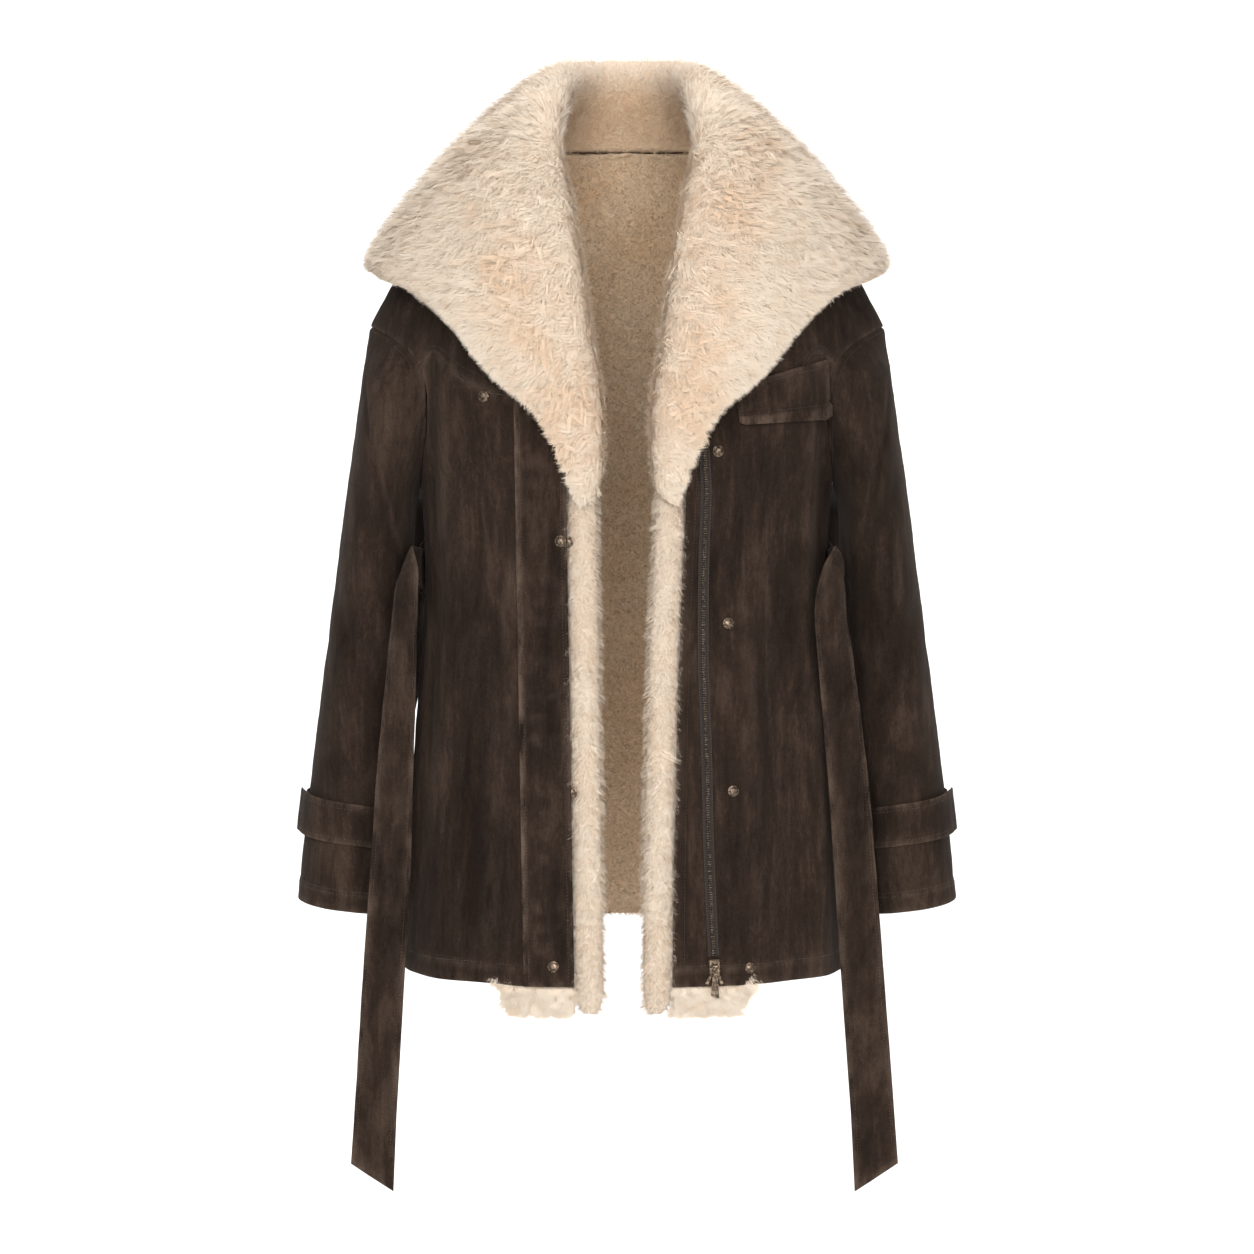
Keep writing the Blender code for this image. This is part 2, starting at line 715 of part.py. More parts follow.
def yoke_rows(panel):
    """Rows of a front from the yoke seam to the shoulder seam."""
    return [[(panel, s, mix(yoke_seam(s), 2.0, share)) for s in shares(COLUMNS)]
            for share in shares(HIGH_ARM_ROWS)]


def arm_ups():
    """Heights of the rows that end on the armhole, the same on the front and the back."""
    seam = yoke_seam(1.0)
    return shares(LOW_ARM_ROWS, 1.0, seam)[1:] + shares(HIGH_ARM_ROWS, seam, 2.0)[1:]


def back_rows():
    """Rows of the whole back, from the right side seam to the left."""
    half = shares(NECK_COLUMNS, 0.0, NECKLINE_SHARE)[:-1] + shares(COLUMNS, NECKLINE_SHARE, 1.0)
    line = [(RIGHT, s) for s in reversed(half[1:])] + [(LEFT, s) for s in half]
    return [[(BODY_PANELS[side, BACK], s, up) for side, s in line]
            for up in shares(ROWS) + arm_ups()]


def build_shell(suede):
    """Front and yoke of each side, parted at the sloping yoke seam, and the back in one piece."""
    lifts = (0.0, -SUEDE)
    for side in (LEFT, RIGHT):
        panel = BODY_PANELS[side, FRONT]
        panel_wall(f"front_{SIDE_NAMES[side]}", low_rows(panel), lifts, suede)
        panel_wall(f"yoke_{SIDE_NAMES[side]}", yoke_rows(panel), lifts, suede)
    panel_wall("back", back_rows(), lifts, suede)


# ---------------------------------------------------------------- fur lining and facings


def lining_rows(rows):
    """Rows of the suede with the lowest one moved to the lining's hem."""
    return [[(panel, s, panel.lining_start(s)) for panel, s, _ in rows[0]]] + rows[1:]


def build_linings(fur, short_fur):
    """Fur lining of the fronts and, in short fur, of the back, inside the suede."""
    lifts = (-SUEDE - LINING_GAP, -FUR_DEPTH)
    for side in (LEFT, RIGHT):
        panel = BODY_PANELS[side, FRONT]
        rows = low_rows(panel)[:-1] + yoke_rows(panel)
        panel_wall(f"lining_front_{SIDE_NAMES[side]}", lining_rows(rows), lifts, fur)
    panel_wall("lining_back", lining_rows(back_rows()), lifts, short_fur)


def build_facings(fur):
    """Fur facing along each front edge: a fat rounded strip that ends under the collar."""
    rings, sides = FACING_RINGS, FACING_SIDES
    for side in (LEFT, RIGHT):
        panel = BODY_PANELS[side, FRONT]
        grid = []
        for index in range(rings + 1):
            up = mix(panel.lining_start(0.0), FACING_TOP, index / rings)
            end = min(min(index, rings - index) / FACING_END_RINGS, 1.0)
            swell = mix(FACING_BLUNT, 1.0, math.sqrt(1 - (1 - end) ** 2))
            height = panel.surface(0.0, up).z
            sink = mix(FACING_SINK, FACING_SINK_TOP,
                       smooth((height - FACING_SINK_HEIGHT) / FACING_SINK_LENGTH))
            base = panel.lifted(0.0, up, -sink)
            out = panel.normal(0.0, up)
            along = (panel.surface(0.0, up + 0.01) - panel.surface(0.0, up)).normalized()
            inward = along.cross(out).normalized()
            inward = inward if inward.x * side < 0 else -inward
            middle = base + inward * (FACING_WIDTH / 2 + SEAM)
            ring = []
            for step in range(sides):
                angle = 2 * math.pi * step / sides
                wide = power(math.cos(angle), FACING_SQUARE) * swell * FACING_WIDTH / 2
                deep = power(math.sin(angle), FACING_SQUARE) * swell * FACING_THICK / 2
                ring.append(middle + inward * wide + out * deep)
            grid.append(ring)
        points = [point for ring in grid for point in ring]
        faces = [list(range(sides)), list(range(rings * sides, (rings + 1) * sides))]
        for i in range(rings):
            for j in range(sides):
                k = (j + 1) % sides
                faces.append([i * sides + j, i * sides + k,
                              (i + 1) * sides + k, (i + 1) * sides + j])
        name = f"facing_{SIDE_NAMES[side]}"
        add_object(name, mesh_of(name, points, faces), fur)


# ---------------------------------------------------------------- sleeves and cuffs


def crease_rise(turn, along):
    """How far the creases push a sleeve's cloth at a place on it."""
    rise = 0.0
    for crease in CREASES:
        off = (turn - crease.turn) / crease.reach
        across = (along - crease.along - crease.slant * off) / crease.width
        rise += crease.rise * math.exp(-across * across - off * off)
    return rise


def sleeve_point(side, turn, along):
    """Point on a sleeve: turn runs from the outer side to the front; along counts rings."""
    wave = math.radians(turn)
    front = math.sin(wave) > 0
    out, fore = math.cos(wave), abs(math.sin(wave))
    knots = list(range(1, len(SLEEVE) + 1))

    def column(name):
        return read_curve(knots, [getattr(ring, name) for ring in SLEEVE], max(along, 1.0))

    middle_x, half_x = (column("outer") + column("inner")) / 2, (column("outer") - column("inner")) / 2
    middle_y, half_y = (column("front") + column("back")) / 2, (column("back") - column("front")) / 2
    rise = crease_rise(turn, along)
    tuck = SLEEVE_TUCK * smooth(along - 1.0) * smooth((SLEEVE_TUCK_END - along) / SLEEVE_TUCK_FADE)
    tuck *= 2 * max(-out, 0.0) * max(-math.sin(wave), 0.0)
    ring = Vector((middle_x + (half_x + rise) * power(out, SLEEVE_ROUNDNESS) - tuck,
                   middle_y - (half_y + rise) * math.sin(wave),
                   mix(column("z_inner"), column("z_outer"), (1 + out) / 2)))
    if along < 1.0:
        share = turn / 180 if turn <= 180 else (360 - turn) / 180
        seam = armhole(FRONT if front else BACK, 1 - share)
        reach = mix(along, smooth(along), SLEEVE_EASE)
        bulge = SLEEVE_BULGE * math.sin(math.pi * along) * fore
        ring = seam.lerp(ring, reach) + Vector((bulge * 0.5, -bulge if front else bulge, 0))
    return Vector((side * ring.x, ring.y, ring.z))


def sleeve_normal(side, turn, along):
    """Outward direction of a sleeve's cloth."""
    lean = max(along, 0.06)
    lean = min(lean, len(SLEEVE) - 0.06)
    round_it = sleeve_point(side, turn + 2, lean) - sleeve_point(side, turn - 2, lean)
    down = sleeve_point(side, turn, lean + 0.05) - sleeve_point(side, turn, lean - 0.05)
    return (round_it.cross(down) * side).normalized()


def sleeve_lifted(side, turn, along, lift):
    """Point off a sleeve's cloth by a distance."""
    return sleeve_point(side, turn, along) + sleeve_normal(side, turn, along) * lift


def sleeve_turns():
    """Angles of a sleeve's columns, which start on the rows of the body."""
    half = [180.0 * (2.0 - up) for up in [1.0] + arm_ups()]
    return half[::-1] + [360.0 - turn for turn in half[1:-1]]


def build_sleeves(suede):
    """A tube from each armhole to its cuff."""
    last = SLEEVE_HEAD_ROWS[-1]
    stages = list(SLEEVE_HEAD_ROWS) + shares(SLEEVE_LOW_ROWS, last, float(len(SLEEVE)))[1:]
    for side in (LEFT, RIGHT):
        outer, inner = [], []
        for along in stages:
            ring_out, ring_in = [], []
            for turn in sleeve_turns():
                point = sleeve_point(side, turn, along)
                inward = -sleeve_normal(side, turn, along)
                if along == 0.0:
                    share = turn / 180 if turn <= 180 else (360 - turn) / 180
                    face = FRONT if turn <= 180 else BACK
                    body_out = BODY_PANELS[side, face].normal(1.0, 2.0 - min(max(share, 0.01), 0.99))
                    keep = smooth((share - SLEEVE_UNDER) / SLEEVE_UNDER_BLEND)
                    inward = (-body_out).lerp(inward, keep).normalized()
                    down = (sleeve_point(side, turn, 0.3) - point).normalized()
                    point = point + (down * (1 - keep) + body_out * keep) * SEAM
                ring_out.append(point)
                ring_in.append(point + inward * SUEDE)
            outer.append(ring_out)
            inner.append(ring_in)
        wall(f"sleeve_{SIDE_NAMES[side]}", outer, inner, suede, closed=True)


def along_at_height(z):
    """Ring count along a sleeve whose middle lies at a height."""
    low, high = 1.0, float(len(SLEEVE))
    knots = list(range(1, len(SLEEVE) + 1))
    heights = [(ring.z_outer + ring.z_inner) / 2 for ring in SLEEVE]
    for _ in range(30):
        middle = (low + high) / 2
        if read_curve(knots, heights, middle) > z:
            low = middle
        else:
            high = middle
    return low


def build_straps(suede):
    """A strap round each cuff, its buttoned end lying on its start and standing a little proud."""
    turns = sleeve_turns()
    start = turns[STRAP_START]
    gone_at = [(start - turns[STRAP_START - index]) % 360 + 360 * (index // len(turns))
               for index in range(len(turns) + STRAP_START + 1)]
    for side in (LEFT, RIGHT):
        levels = [along_at_height(STRAP_TOP - STRAP_WIDTH * share) for share in shares(2)]
        outer, inner = [], []
        for level in levels:
            line_out, line_in = [], []
            for gone in gone_at + [STRAP_TURN]:
                turn = (start - gone) % 360
                low, high = STRAP_CLIMB
                climb = smooth((gone - low) / (high - low)) * (STRAP_THICK + STRAP_GAP)
                flare = (gone - STRAP_FLARE_START) / (STRAP_TURN - STRAP_FLARE_START)
                lift = STRAP_GAP + climb + max(flare, 0.0) * STRAP_FLARE
                line_in.append(sleeve_lifted(side, turn, level, lift))
                line_out.append(sleeve_lifted(side, turn, level, lift + STRAP_THICK))
            outer.append(line_out)
            inner.append(line_in)
        wall(f"cuff_strap_{SIDE_NAMES[side]}", outer, inner, suede)


# ---------------------------------------------------------------- collar


def collar_section(share):
    """Foot, crest, fall and edge of the collar: share is -1 and 1 at its ends, 0 at the back."""
    side = LEFT if share >= 0 else RIGHT
    knots = list(range(len(COLLAR)))
    at = (1 - abs(share)) * (len(COLLAR) - 1)
    mirrored = {"foot": [], "crest": [], "fall": [], "edge": []}
    for name, result in mirrored.items():
        for axis in range(3):
            values = [getattr(row, name)[axis] for row in COLLAR]
            turn_back = -values[-2] if axis == 0 else values[-2]
            result.append(read_curve(knots + [len(COLLAR)], values + [turn_back], at))
        result[0] *= side
    fur = read_curve(knots, [row.fur for row in COLLAR], at)
    foot_fur = read_curve(knots, [row.foot_fur for row in COLLAR], at)
    return [Vector(point) for point in mirrored.values()], fur, foot_fur


def collar_point(share, over):
    """Point on the collar's skin: over is 0 at its foot and 1 at its outer edge."""
    points, _, _ = collar_section(share)
    return Vector([read_curve(COLLAR_PLACES, [point[axis] for point in points], over)
                   for axis in range(3)])


def collar_normal(share, over):
    """Direction that the collar's fur points in."""
    step = 0.004
    share = min(max(share, -1 + step), 1 - step)
    along = collar_point(share + step, over) - collar_point(share - step, over)
    out = collar_point(share, over + step) - collar_point(share, over - step)
    return along.cross(out).normalized()


def collar_depth(share, over):
    """Depth of the fur: thin at the foot, full on the fall, rounded at the edge and the ends."""
    _, fur, foot_fur = collar_section(share)
    to_edge = 1 - min((1 - over) / COLLAR_ROUND, 1.0)
    to_end = 1 - min((1 - abs(share)) / COLLAR_END, 1.0)
    edge = mix(COLLAR_EDGE_DEPTH, 1.0, math.sqrt(1 - to_edge ** 2))
    end = mix(COLLAR_END_DEPTH, 1.0, math.sqrt(1 - to_end ** 2))
    return mix(foot_fur, fur, smooth(over / COLLAR_FOOT)) * edge * end


def build_collar(fur):
    """The collar: one piece from front edge to front edge, folded over at its crest."""
    outer, inner = [], []
    for share in shares(COLLAR_SPANS, -1.0, 1.0):
        line_out, line_in = [], []
        for over in COLLAR_OVERS:
            point, normal = collar_point(share, over), collar_normal(share, over)
            line_out.append(point + normal * collar_depth(share, over))
            line_in.append(point - normal * COLLAR_SKIN)
        outer.append(line_out)
        inner.append(line_in)
    wall("collar", outer, inner, fur)


# ---------------------------------------------------------------- pieces on the fronts


def front_strip(name, side, rows, gap, material):
    """Flat piece on a front, from rows of distances from the middle, heights and thicknesses."""
    panel = BODY_PANELS[side, FRONT]
    outer = [[panel.at(x, z, gap + thick) for x, z, thick in row] for row in rows]
    inner = [[panel.at(x, z, gap) for x, z, _ in row] for row in rows]
    return wall(name, outer, inner, material)


def build_placket(suede):
    """Doubled strip along the right front edge."""
    rows = []
    for z in shares(15, HEM_FRONT, PLACKET_TOP):
        edge = read_column(FRONT_EDGE[RIGHT], "z", "x", z)
        rows.append([(edge + PLACKET_WIDTH * s, z, SUEDE) for s in shares(4)])
    front_strip("placket", RIGHT, rows, OVERLAY_GAP, suede)


def build_flap(suede):
    """Pocket flap that hangs from the left yoke seam, with a thick stitched lower edge."""
    rows = []
    for down in shares(6):
        inner = [mix(FLAP_TOP_IN[k], FLAP_LOW_IN[k], down) for k in range(2)]
        outer = [mix(FLAP_TOP_OUT[k], FLAP_LOW_OUT[k], down) for k in range(2)]
        thick = FLAP_THICK + FLAP_ROLL * smooth((down - FLAP_ROLL_START) / FLAP_ROLL_LENGTH)
        rows.append([(mix(inner[0], outer[0], s), mix(inner[1], outer[1], s), thick)
                     for s in shares(8)])
    front_strip("pocket_flap", LEFT, rows, FLAP_GAP, suede)


def build_zip(tape, metal):
    """Tape and chain of the zip's half on the left front."""
    for name, width, gap, thick, material in (
            ("zip_tape", ZIP_TAPE_WIDTH, OVERLAY_GAP, ZIP_TAPE_THICK, tape),
            ("zip_chain", ZIP_CHAIN_WIDTH, ZIP_CHAIN_LIFT, ZIP_CHAIN_HEIGHT, metal)):
        rows = []
        for z in shares(ZIP_ROWS, ZIP_BOTTOM, ZIP_TOP):
            line = read_column(ZIP_LINE, "z", "x", z)
            rows.append([(line + width * share, z, thick) for share in (-0.5, 0.5)])
        front_strip(name, LEFT, rows, gap, material)


def add_disc(name, base, normal, material, sweep=2 * math.pi):
    """Domed round cap on a surface, or half of one that shows past an edge."""
    other = Vector((0, 0, 1)).cross(normal).normalized()
    side = normal.cross(other)
    full = sweep > math.pi
    points, faces = [], []
    for share, up in STUD_PROFILE:
        for step in range(STUD_SIDES):
            angle = sweep * step / (STUD_SIDES if full else STUD_SIDES - 1)
            points.append(base + (side * math.cos(angle) + other * math.sin(angle))
                          * STUD_RADIUS * share + normal * STUD_HEIGHT * up)
    for ring in range(len(STUD_PROFILE) - 1):
        for step in range(STUD_SIDES):
            k = (step + 1) % STUD_SIDES
            faces.append([ring * STUD_SIDES + step, ring * STUD_SIDES + k,
                          (ring + 1) * STUD_SIDES + k, (ring + 1) * STUD_SIDES + step])
    faces.append(list(range(STUD_SIDES)))
    faces.append(list(range(len(points) - STUD_SIDES, len(points))))
    return add_object(name, mesh_of(name, points, faces), material)


def build_studs(metal):
    """Press studs on the fronts, and two more that stand past the right front edge."""
    for stud in STUDS:
        panel = BODY_PANELS[stud.side, FRONT]
        across, up = panel.place(stud.x, stud.z)
        normal = panel.normal(across, up)
        add_disc(stud.name, panel.lifted(across, up, stud.lift + SEAM), normal, metal)
    for number, edge in enumerate(EDGE_STUDS, 1):
        panel = BODY_PANELS[RIGHT, FRONT]
        x = read_column(FRONT_EDGE[RIGHT], "z", "x", edge.z)
        across, up = panel.place(x, edge.z)
        base = panel.lifted(across, up, EDGE_STUD_LIFT) + Vector((2 * SEAM, 0, 0))
        add_disc(f"stud_edge_{number}", base, panel.normal(across, up), metal, math.pi)


# ---------------------------------------------------------------- belt


def belt_frames():
    """Sections of the whole belt: middle, way along its width, way that it faces, and curl."""
    frames = []
    for side in (RIGHT, LEFT):
        rows = BELT_END[side]
        knots = list(range(len(rows)))
        end = []
        for gone in shares(BELT_SECTIONS):
            at = gone * (len(rows) - 1)
            place = [read_curve(knots, [getattr(row, name) for row in rows], at)
                     for name in ("x", "y", "z", "width", "facing", "curl")]
            ahead = [read_curve(knots, [getattr(row, name) for row in rows], at + 0.1)
                     - read_curve(knots, [getattr(row, name) for row in rows], at - 0.1)
                     for name in ("x", "y", "z")]
            middle = Vector((side * place[0], place[1], place[2]))
            along = Vector((side * ahead[0], ahead[1], ahead[2])).normalized()
            facing = math.radians(place[4])
            out = Vector((side * math.cos(facing), -math.sin(facing), 0.0))
            out = (out - along * out.dot(along)).normalized()
            wide = along.cross(out).normalized() * side
            end.append((middle, wide, out, place[3], place[5], gone))
        frames.append(end)
    across_back = []
    up = (BELT_HEIGHT - HEM_SIDE) / (UNDERARM - HEM_SIDE)
    for panel, across, _ in back_rows()[0][1:-1]:
        out = panel.normal(across, up)
        high = panel.foot(across, BELT_HEIGHT + BELT_WIDTH / 2)
        low = panel.foot(across, BELT_HEIGHT - BELT_WIDTH / 2)
        place = (high + low) / 2 + out * (BELT_GAP + BELT_THICK / 2)
        across_back.append((place, (high - low).normalized(), out, BELT_WIDTH, 0.0, 0))
    return frames[0], across_back, frames[1]


def build_belt(suede):
    """The belt: across the back, forward through the side loops, and down in front."""
    right, back, left = belt_frames()
    run = [(frame, RIGHT) for frame in reversed(right)] + [(frame, 0) for frame in back]
    run += [(frame, LEFT) for frame in left]
    outer, inner = [], []
    for (middle, wide, out, width, curl, gone), side in run:
        line_out, line_in = [], []
        for share in shares(4, -1.0, 1.0):
            bow = curl * (BELT_BOW - share * share)
            slant = 0.0
            if side and gone > BELT_TIP:
                slant = (gone - BELT_TIP) / (1 - BELT_TIP) * BELT_TIP_SLANT * (1 + share) / 2
            base = middle + wide * share * width / 2 + out * bow - Vector((0, 0, slant))
            line_out.append(base + out * BELT_THICK / 2)
            line_in.append(base - out * BELT_THICK / 2)
        outer.append(line_out)
        inner.append(line_in)
    wall("belt", outer, inner, suede)


def build_loops(suede):
    """A belt loop at each side seam: a narrow strip that bows over the belt."""
    for side in (LEFT, RIGHT):
        outer, inner = [], []
        for step in shares(10, -1.0, 1.0):
            z = BELT_HEIGHT + step * LOOP_HEIGHT / 2
            lift = SEAM + LOOP_STAND * smooth((1 - abs(step)) / LOOP_RAMP)
            line_out, line_in = [], []
            for share in shares(2, -1.0, 1.0):
                turn = math.pi / 2 - (LOOP_BACK + share * LOOP_WIDTH / 2) / body_width(side, z)
                place = around(side, BACK, turn, z)
                line_in.append(place + Vector((side * lift, 0, 0)))
                line_out.append(place + Vector((side * (lift + LOOP_THICK), 0, 0)))
            outer.append(line_out)
            inner.append(line_in)
        wall(f"belt_loop_{SIDE_NAMES[side]}", outer, inner, suede)


# ---------------------------------------------------------------- zip slider and pull


def block(size, place, bevel=0.0, tilt=0.0):
    """Box as a bmesh body, bevelled and tilted about Y."""
    body = bmesh.new()
    bmesh.ops.create_cube(body, size=1.0)
    bmesh.ops.scale(body, vec=size, verts=body.verts)
    if bevel:
        bmesh.ops.bevel(body, geom=body.edges[:], offset=bevel, segments=1, affect="EDGES")
    bmesh.ops.rotate(body, cent=(0, 0, 0), matrix=Matrix.Rotation(math.radians(tilt), 3, "Y"),
                     verts=body.verts)
    bmesh.ops.translate(body, vec=place, verts=body.verts)
    return body


def rod(radius, length, place, sides=16):
    """Round bar along X as a bmesh body."""
    body = bmesh.new()
    bmesh.ops.create_cone(body, cap_ends=True, segments=sides, radius1=radius, radius2=radius,
                          depth=length)
    bmesh.ops.rotate(body, cent=(0, 0, 0), matrix=Matrix.Rotation(math.pi / 2, 3, "Y"),
                     verts=body.verts)
    bmesh.ops.translate(body, vec=place, verts=body.verts)
    return body


def part_object(name, body):
    """Scene object of a bmesh body."""
    mesh = bpy.data.meshes.new(name)
    bmesh.ops.recalc_face_normals(body, faces=body.faces)
    body.to_mesh(mesh)
    body.free()
    piece = bpy.data.objects.new(name, mesh)
    bpy.context.collection.objects.link(piece)
    return piece


def combine(name, base, others, material):
    """One body from a base and others, each joined to it or cut from it."""
    piece = part_object(name, base)
    for index, (operation, body) in enumerate(others):
        tool = part_object(f"{name}_tool_{index}", body)
        tool.hide_render = True
        tool.display_type = "WIRE"
        step = piece.modifiers.new(f"{operation}_{index}", "BOOLEAN")
        step.operation = operation
        step.object = tool
    piece.data.materials.append(material)
    return piece


def build_slider(metal):
    """Zip slider with two ears and a pin, and the pull tab that swings on the pin."""
    panel = BODY_PANELS[LEFT, FRONT]
    x = read_column(ZIP_LINE, "z", "x", SLIDER_Z)
    across, up = panel.place(x, SLIDER_Z)
    normal = panel.normal(across, up)
    yaw = math.atan2(normal.x, -normal.y)
    seat = panel.lifted(across, up, 2 * SEAM)
    wide, deep, tall = SLIDER_SIZE
    pin_y = -(deep + PULL_EYE_RADIUS + PIN_CLEARANCE)
    pin_z = tall * SLIDER_PIN_UP
    ear_x = PULL_EYE_WIDTH / 2 + SEAM + EAR_WIDTH / 2
    ear = (EAR_WIDTH, PULL_EYE_RADIUS + 2 * PIN_RADIUS + EAR_REACH, EAR_HEIGHT)
    parts = []
    for way in (-1, 1):
        parts.append(("UNION", block(SLIDER_LEG, (way * wide * 0.40, -deep / 2, -tall * 0.55),
                                     tilt=-way * SLIDER_LEG_SPLAY)))
        parts.append(("UNION", block(ear, (way * ear_x, EAR_SINK - deep - ear[1] / 2, pin_z))))
    parts.append(("UNION", rod(PIN_RADIUS, 2 * ear_x, (0, pin_y, pin_z))))
    slider = combine("zip_slider", block(SLIDER_SIZE, (0, -deep / 2, 0), bevel=SLIDER_BEVEL),
                     parts, metal)
    tab_top, tab_low = -PULL_EYE_RADIUS * 0.5, -PULL_LENGTH
    tab = block((PULL_WIDTH, PULL_THICK, tab_top - tab_low), (0, 0, (tab_top + tab_low) / 2))
    for corner in tab.verts:
        if corner.co.z < (tab_low + tab_top) / 2:
            corner.co.z -= PULL_SLANT * (corner.co.x / PULL_WIDTH)
        else:
            corner.co.x *= PULL_NECK
    hole = bmesh.new()
    bmesh.ops.create_cone(hole, cap_ends=True, segments=12, radius1=PULL_HOLE, radius2=PULL_HOLE,
                          depth=BORE)
    bmesh.ops.rotate(hole, cent=(0, 0, 0), matrix=Matrix.Rotation(math.pi / 2, 3, "X"),
                     verts=hole.verts)
    bmesh.ops.translate(hole, vec=(0, 0, tab_low + PULL_HOLE_UP), verts=hole.verts)
    pull = combine("zip_pull", rod(PULL_EYE_RADIUS, PULL_EYE_WIDTH, (0, 0, 0)),
                   [("UNION", tab), ("DIFFERENCE", rod(PIN_RADIUS + PIN_CLEARANCE, BORE, (0, 0, 0))),
                    ("DIFFERENCE", hole)], metal)
    frame = Matrix.Translation(seat) @ Matrix.Rotation(yaw, 4, "Z")
    for piece, place in ((slider, Matrix()), (pull, Matrix.Translation((0, pin_y, pin_z)))):
        piece.matrix_world = frame @ place
        for step in piece.modifiers:
            step.object.parent = piece


def main():
    """Build every piece of the coat."""
    for old in list(bpy.data.objects):
        bpy.data.objects.remove(old, do_unlink=True)
    suede = finish("suede", (0.052, 0.036, 0.029), 0.92)
    fur = finish("fur", (0.76, 0.66, 0.53), 0.95)
    lining = finish("fur_lining", (0.47, 0.36, 0.25), 0.95)
    metal = finish("metal", (0.11, 0.085, 0.065), 0.4, 1.0)
    tape = finish("zip_tape", (0.030, 0.022, 0.018), 0.9)
    build_shell(suede)
    build_linings(fur, lining)
    build_facings(fur)
    build_sleeves(suede)
    build_straps(suede)
    build_collar(fur)
    build_placket(suede)
    build_flap(suede)
    build_zip(tape, metal)
    build_studs(metal)
    build_belt(suede)
    build_loops(suede)
    build_slider(metal)


main()
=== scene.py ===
"""Dress of a belted suede coat with a wide fur collar, worn open with its belt untied.

Left and right are the wearer's. Lengths are in metres, +Z is up and the front faces -Y. The
coat's surfaces are worked out from the same sizes as its solids, only finer, and the fur grows
from them as strands gathered into locks.
"""

from __future__ import annotations

import logging
import math
from dataclasses import dataclass, field
from enum import Enum
from typing import Sequence

import bpy
import numpy as np
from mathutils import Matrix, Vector, kdtree


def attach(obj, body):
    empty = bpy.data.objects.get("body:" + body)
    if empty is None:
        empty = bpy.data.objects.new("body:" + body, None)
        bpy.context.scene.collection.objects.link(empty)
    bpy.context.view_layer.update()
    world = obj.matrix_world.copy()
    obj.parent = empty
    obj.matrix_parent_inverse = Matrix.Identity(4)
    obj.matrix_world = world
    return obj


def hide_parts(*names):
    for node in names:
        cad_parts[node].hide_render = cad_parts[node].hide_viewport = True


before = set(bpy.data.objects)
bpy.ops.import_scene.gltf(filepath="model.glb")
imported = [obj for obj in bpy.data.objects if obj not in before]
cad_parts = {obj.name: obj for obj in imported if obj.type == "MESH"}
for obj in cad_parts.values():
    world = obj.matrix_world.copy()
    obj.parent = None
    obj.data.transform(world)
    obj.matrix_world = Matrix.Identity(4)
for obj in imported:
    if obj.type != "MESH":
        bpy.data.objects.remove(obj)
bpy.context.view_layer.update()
COAT = "coat"

Array = np.ndarray
LOG = logging.getLogger("coat")


class Side(Enum):
    """The wearer's sides, with the sign of X."""

    LEFT = 1
    RIGHT = -1

    @property
    def word(self) -> str:
        """The side's name in a node."""
        return self.name.lower()


class Face(Enum):
    """Front and back of the body, with the sign of Y."""

    FRONT = -1
    BACK = 1


class Slot(Enum):
    """Material slots of the record."""

    SUEDE = "suede"
    FUR = "fur"
    LINING = "fur_lining"
    METAL = "metal"
    TAPE = "zip_tape"


# ------------------------------------------------------------------ numbers


def curve(knots: Sequence[float], values: Sequence, at: Array | float) -> Array:
    """Read the smooth curve through the values at the knots.

    Args:
        knots: rising places of the values.
        values: one number, or one row of numbers, for each knot.
        at: places to read.

    Returns:
        The values there, with the rows' length as the last axis.
    """
    knots, values, at = np.asarray(knots, float), np.asarray(values, float), np.asarray(at, float)
    flat = values.ndim == 1
    values = values[:, None] if flat else values
    count = len(knots)
    before, after = np.maximum(np.arange(count) - 1, 0), np.minimum(np.arange(count) + 1, count - 1)
    slopes = (values[after] - values[before]) / (knots[after] - knots[before])[:, None]
    index = np.clip(np.searchsorted(knots, at, side="left") - 1, 0, count - 2)
    span = (knots[index + 1] - knots[index])[..., None]
    t = ((at - knots[index])[..., None]) / span
    found = (values[index] * (1 + 2 * t) * (1 - t) ** 2
             + values[index + 1] * t * t * (3 - 2 * t)
             + slopes[index] * span * t * (1 - t) ** 2
             + slopes[index + 1] * span * t * t * (t - 1))
    return found[..., 0] if flat else found


def smooth(value: Array | float) -> Array:
    """Ease from 0 to 1 as the value goes from 0 to 1."""
    value = np.clip(value, 0.0, 1.0)
    return value * value * (3 - 2 * value)


def mix(a: Array | float, b: Array | float, share: Array | float) -> Array:
    """Value between a and b."""
    return a + (b - a) * share


def power(value: Array, exponent: float) -> Array:
    """Power that keeps the sign of its base."""
    return np.copysign(np.abs(value) ** exponent, value)


def unit(vectors: Array) -> Array:
    """The vectors at length 1."""
    return vectors / np.maximum(np.linalg.norm(vectors, axis=-1, keepdims=True), 1e-12)


def joined(*parts: Array | float) -> Array:
    """Coordinates put together as points."""
    return np.stack(np.broadcast_arrays(*parts), axis=-1)


def edged(count: int, border: float) -> Array:
    """Even shares from 0 to 1 with two more close to each end.

    Args:
        count: number of even steps.
        border: share from an end over which a rounded edge runs.

    Returns:
        The rising shares.
    """
    inner = np.linspace(border, 1 - border, count + 1)
    return np.concatenate([[0.0, border * 0.25, border * 0.6], inner,
                           [1 - border * 0.6, 1 - border * 0.25, 1.0]])


def across_grid(points: Array, closed: bool) -> tuple[Array, Array]:
    """Differences of a grid of points along its columns and its rows."""
    if closed:
        wide = np.roll(points, -1, axis=1) - np.roll(points, 1, axis=1)
    else:
        wide = np.gradient(points, axis=1)
    return wide, np.gradient(points, axis=0)


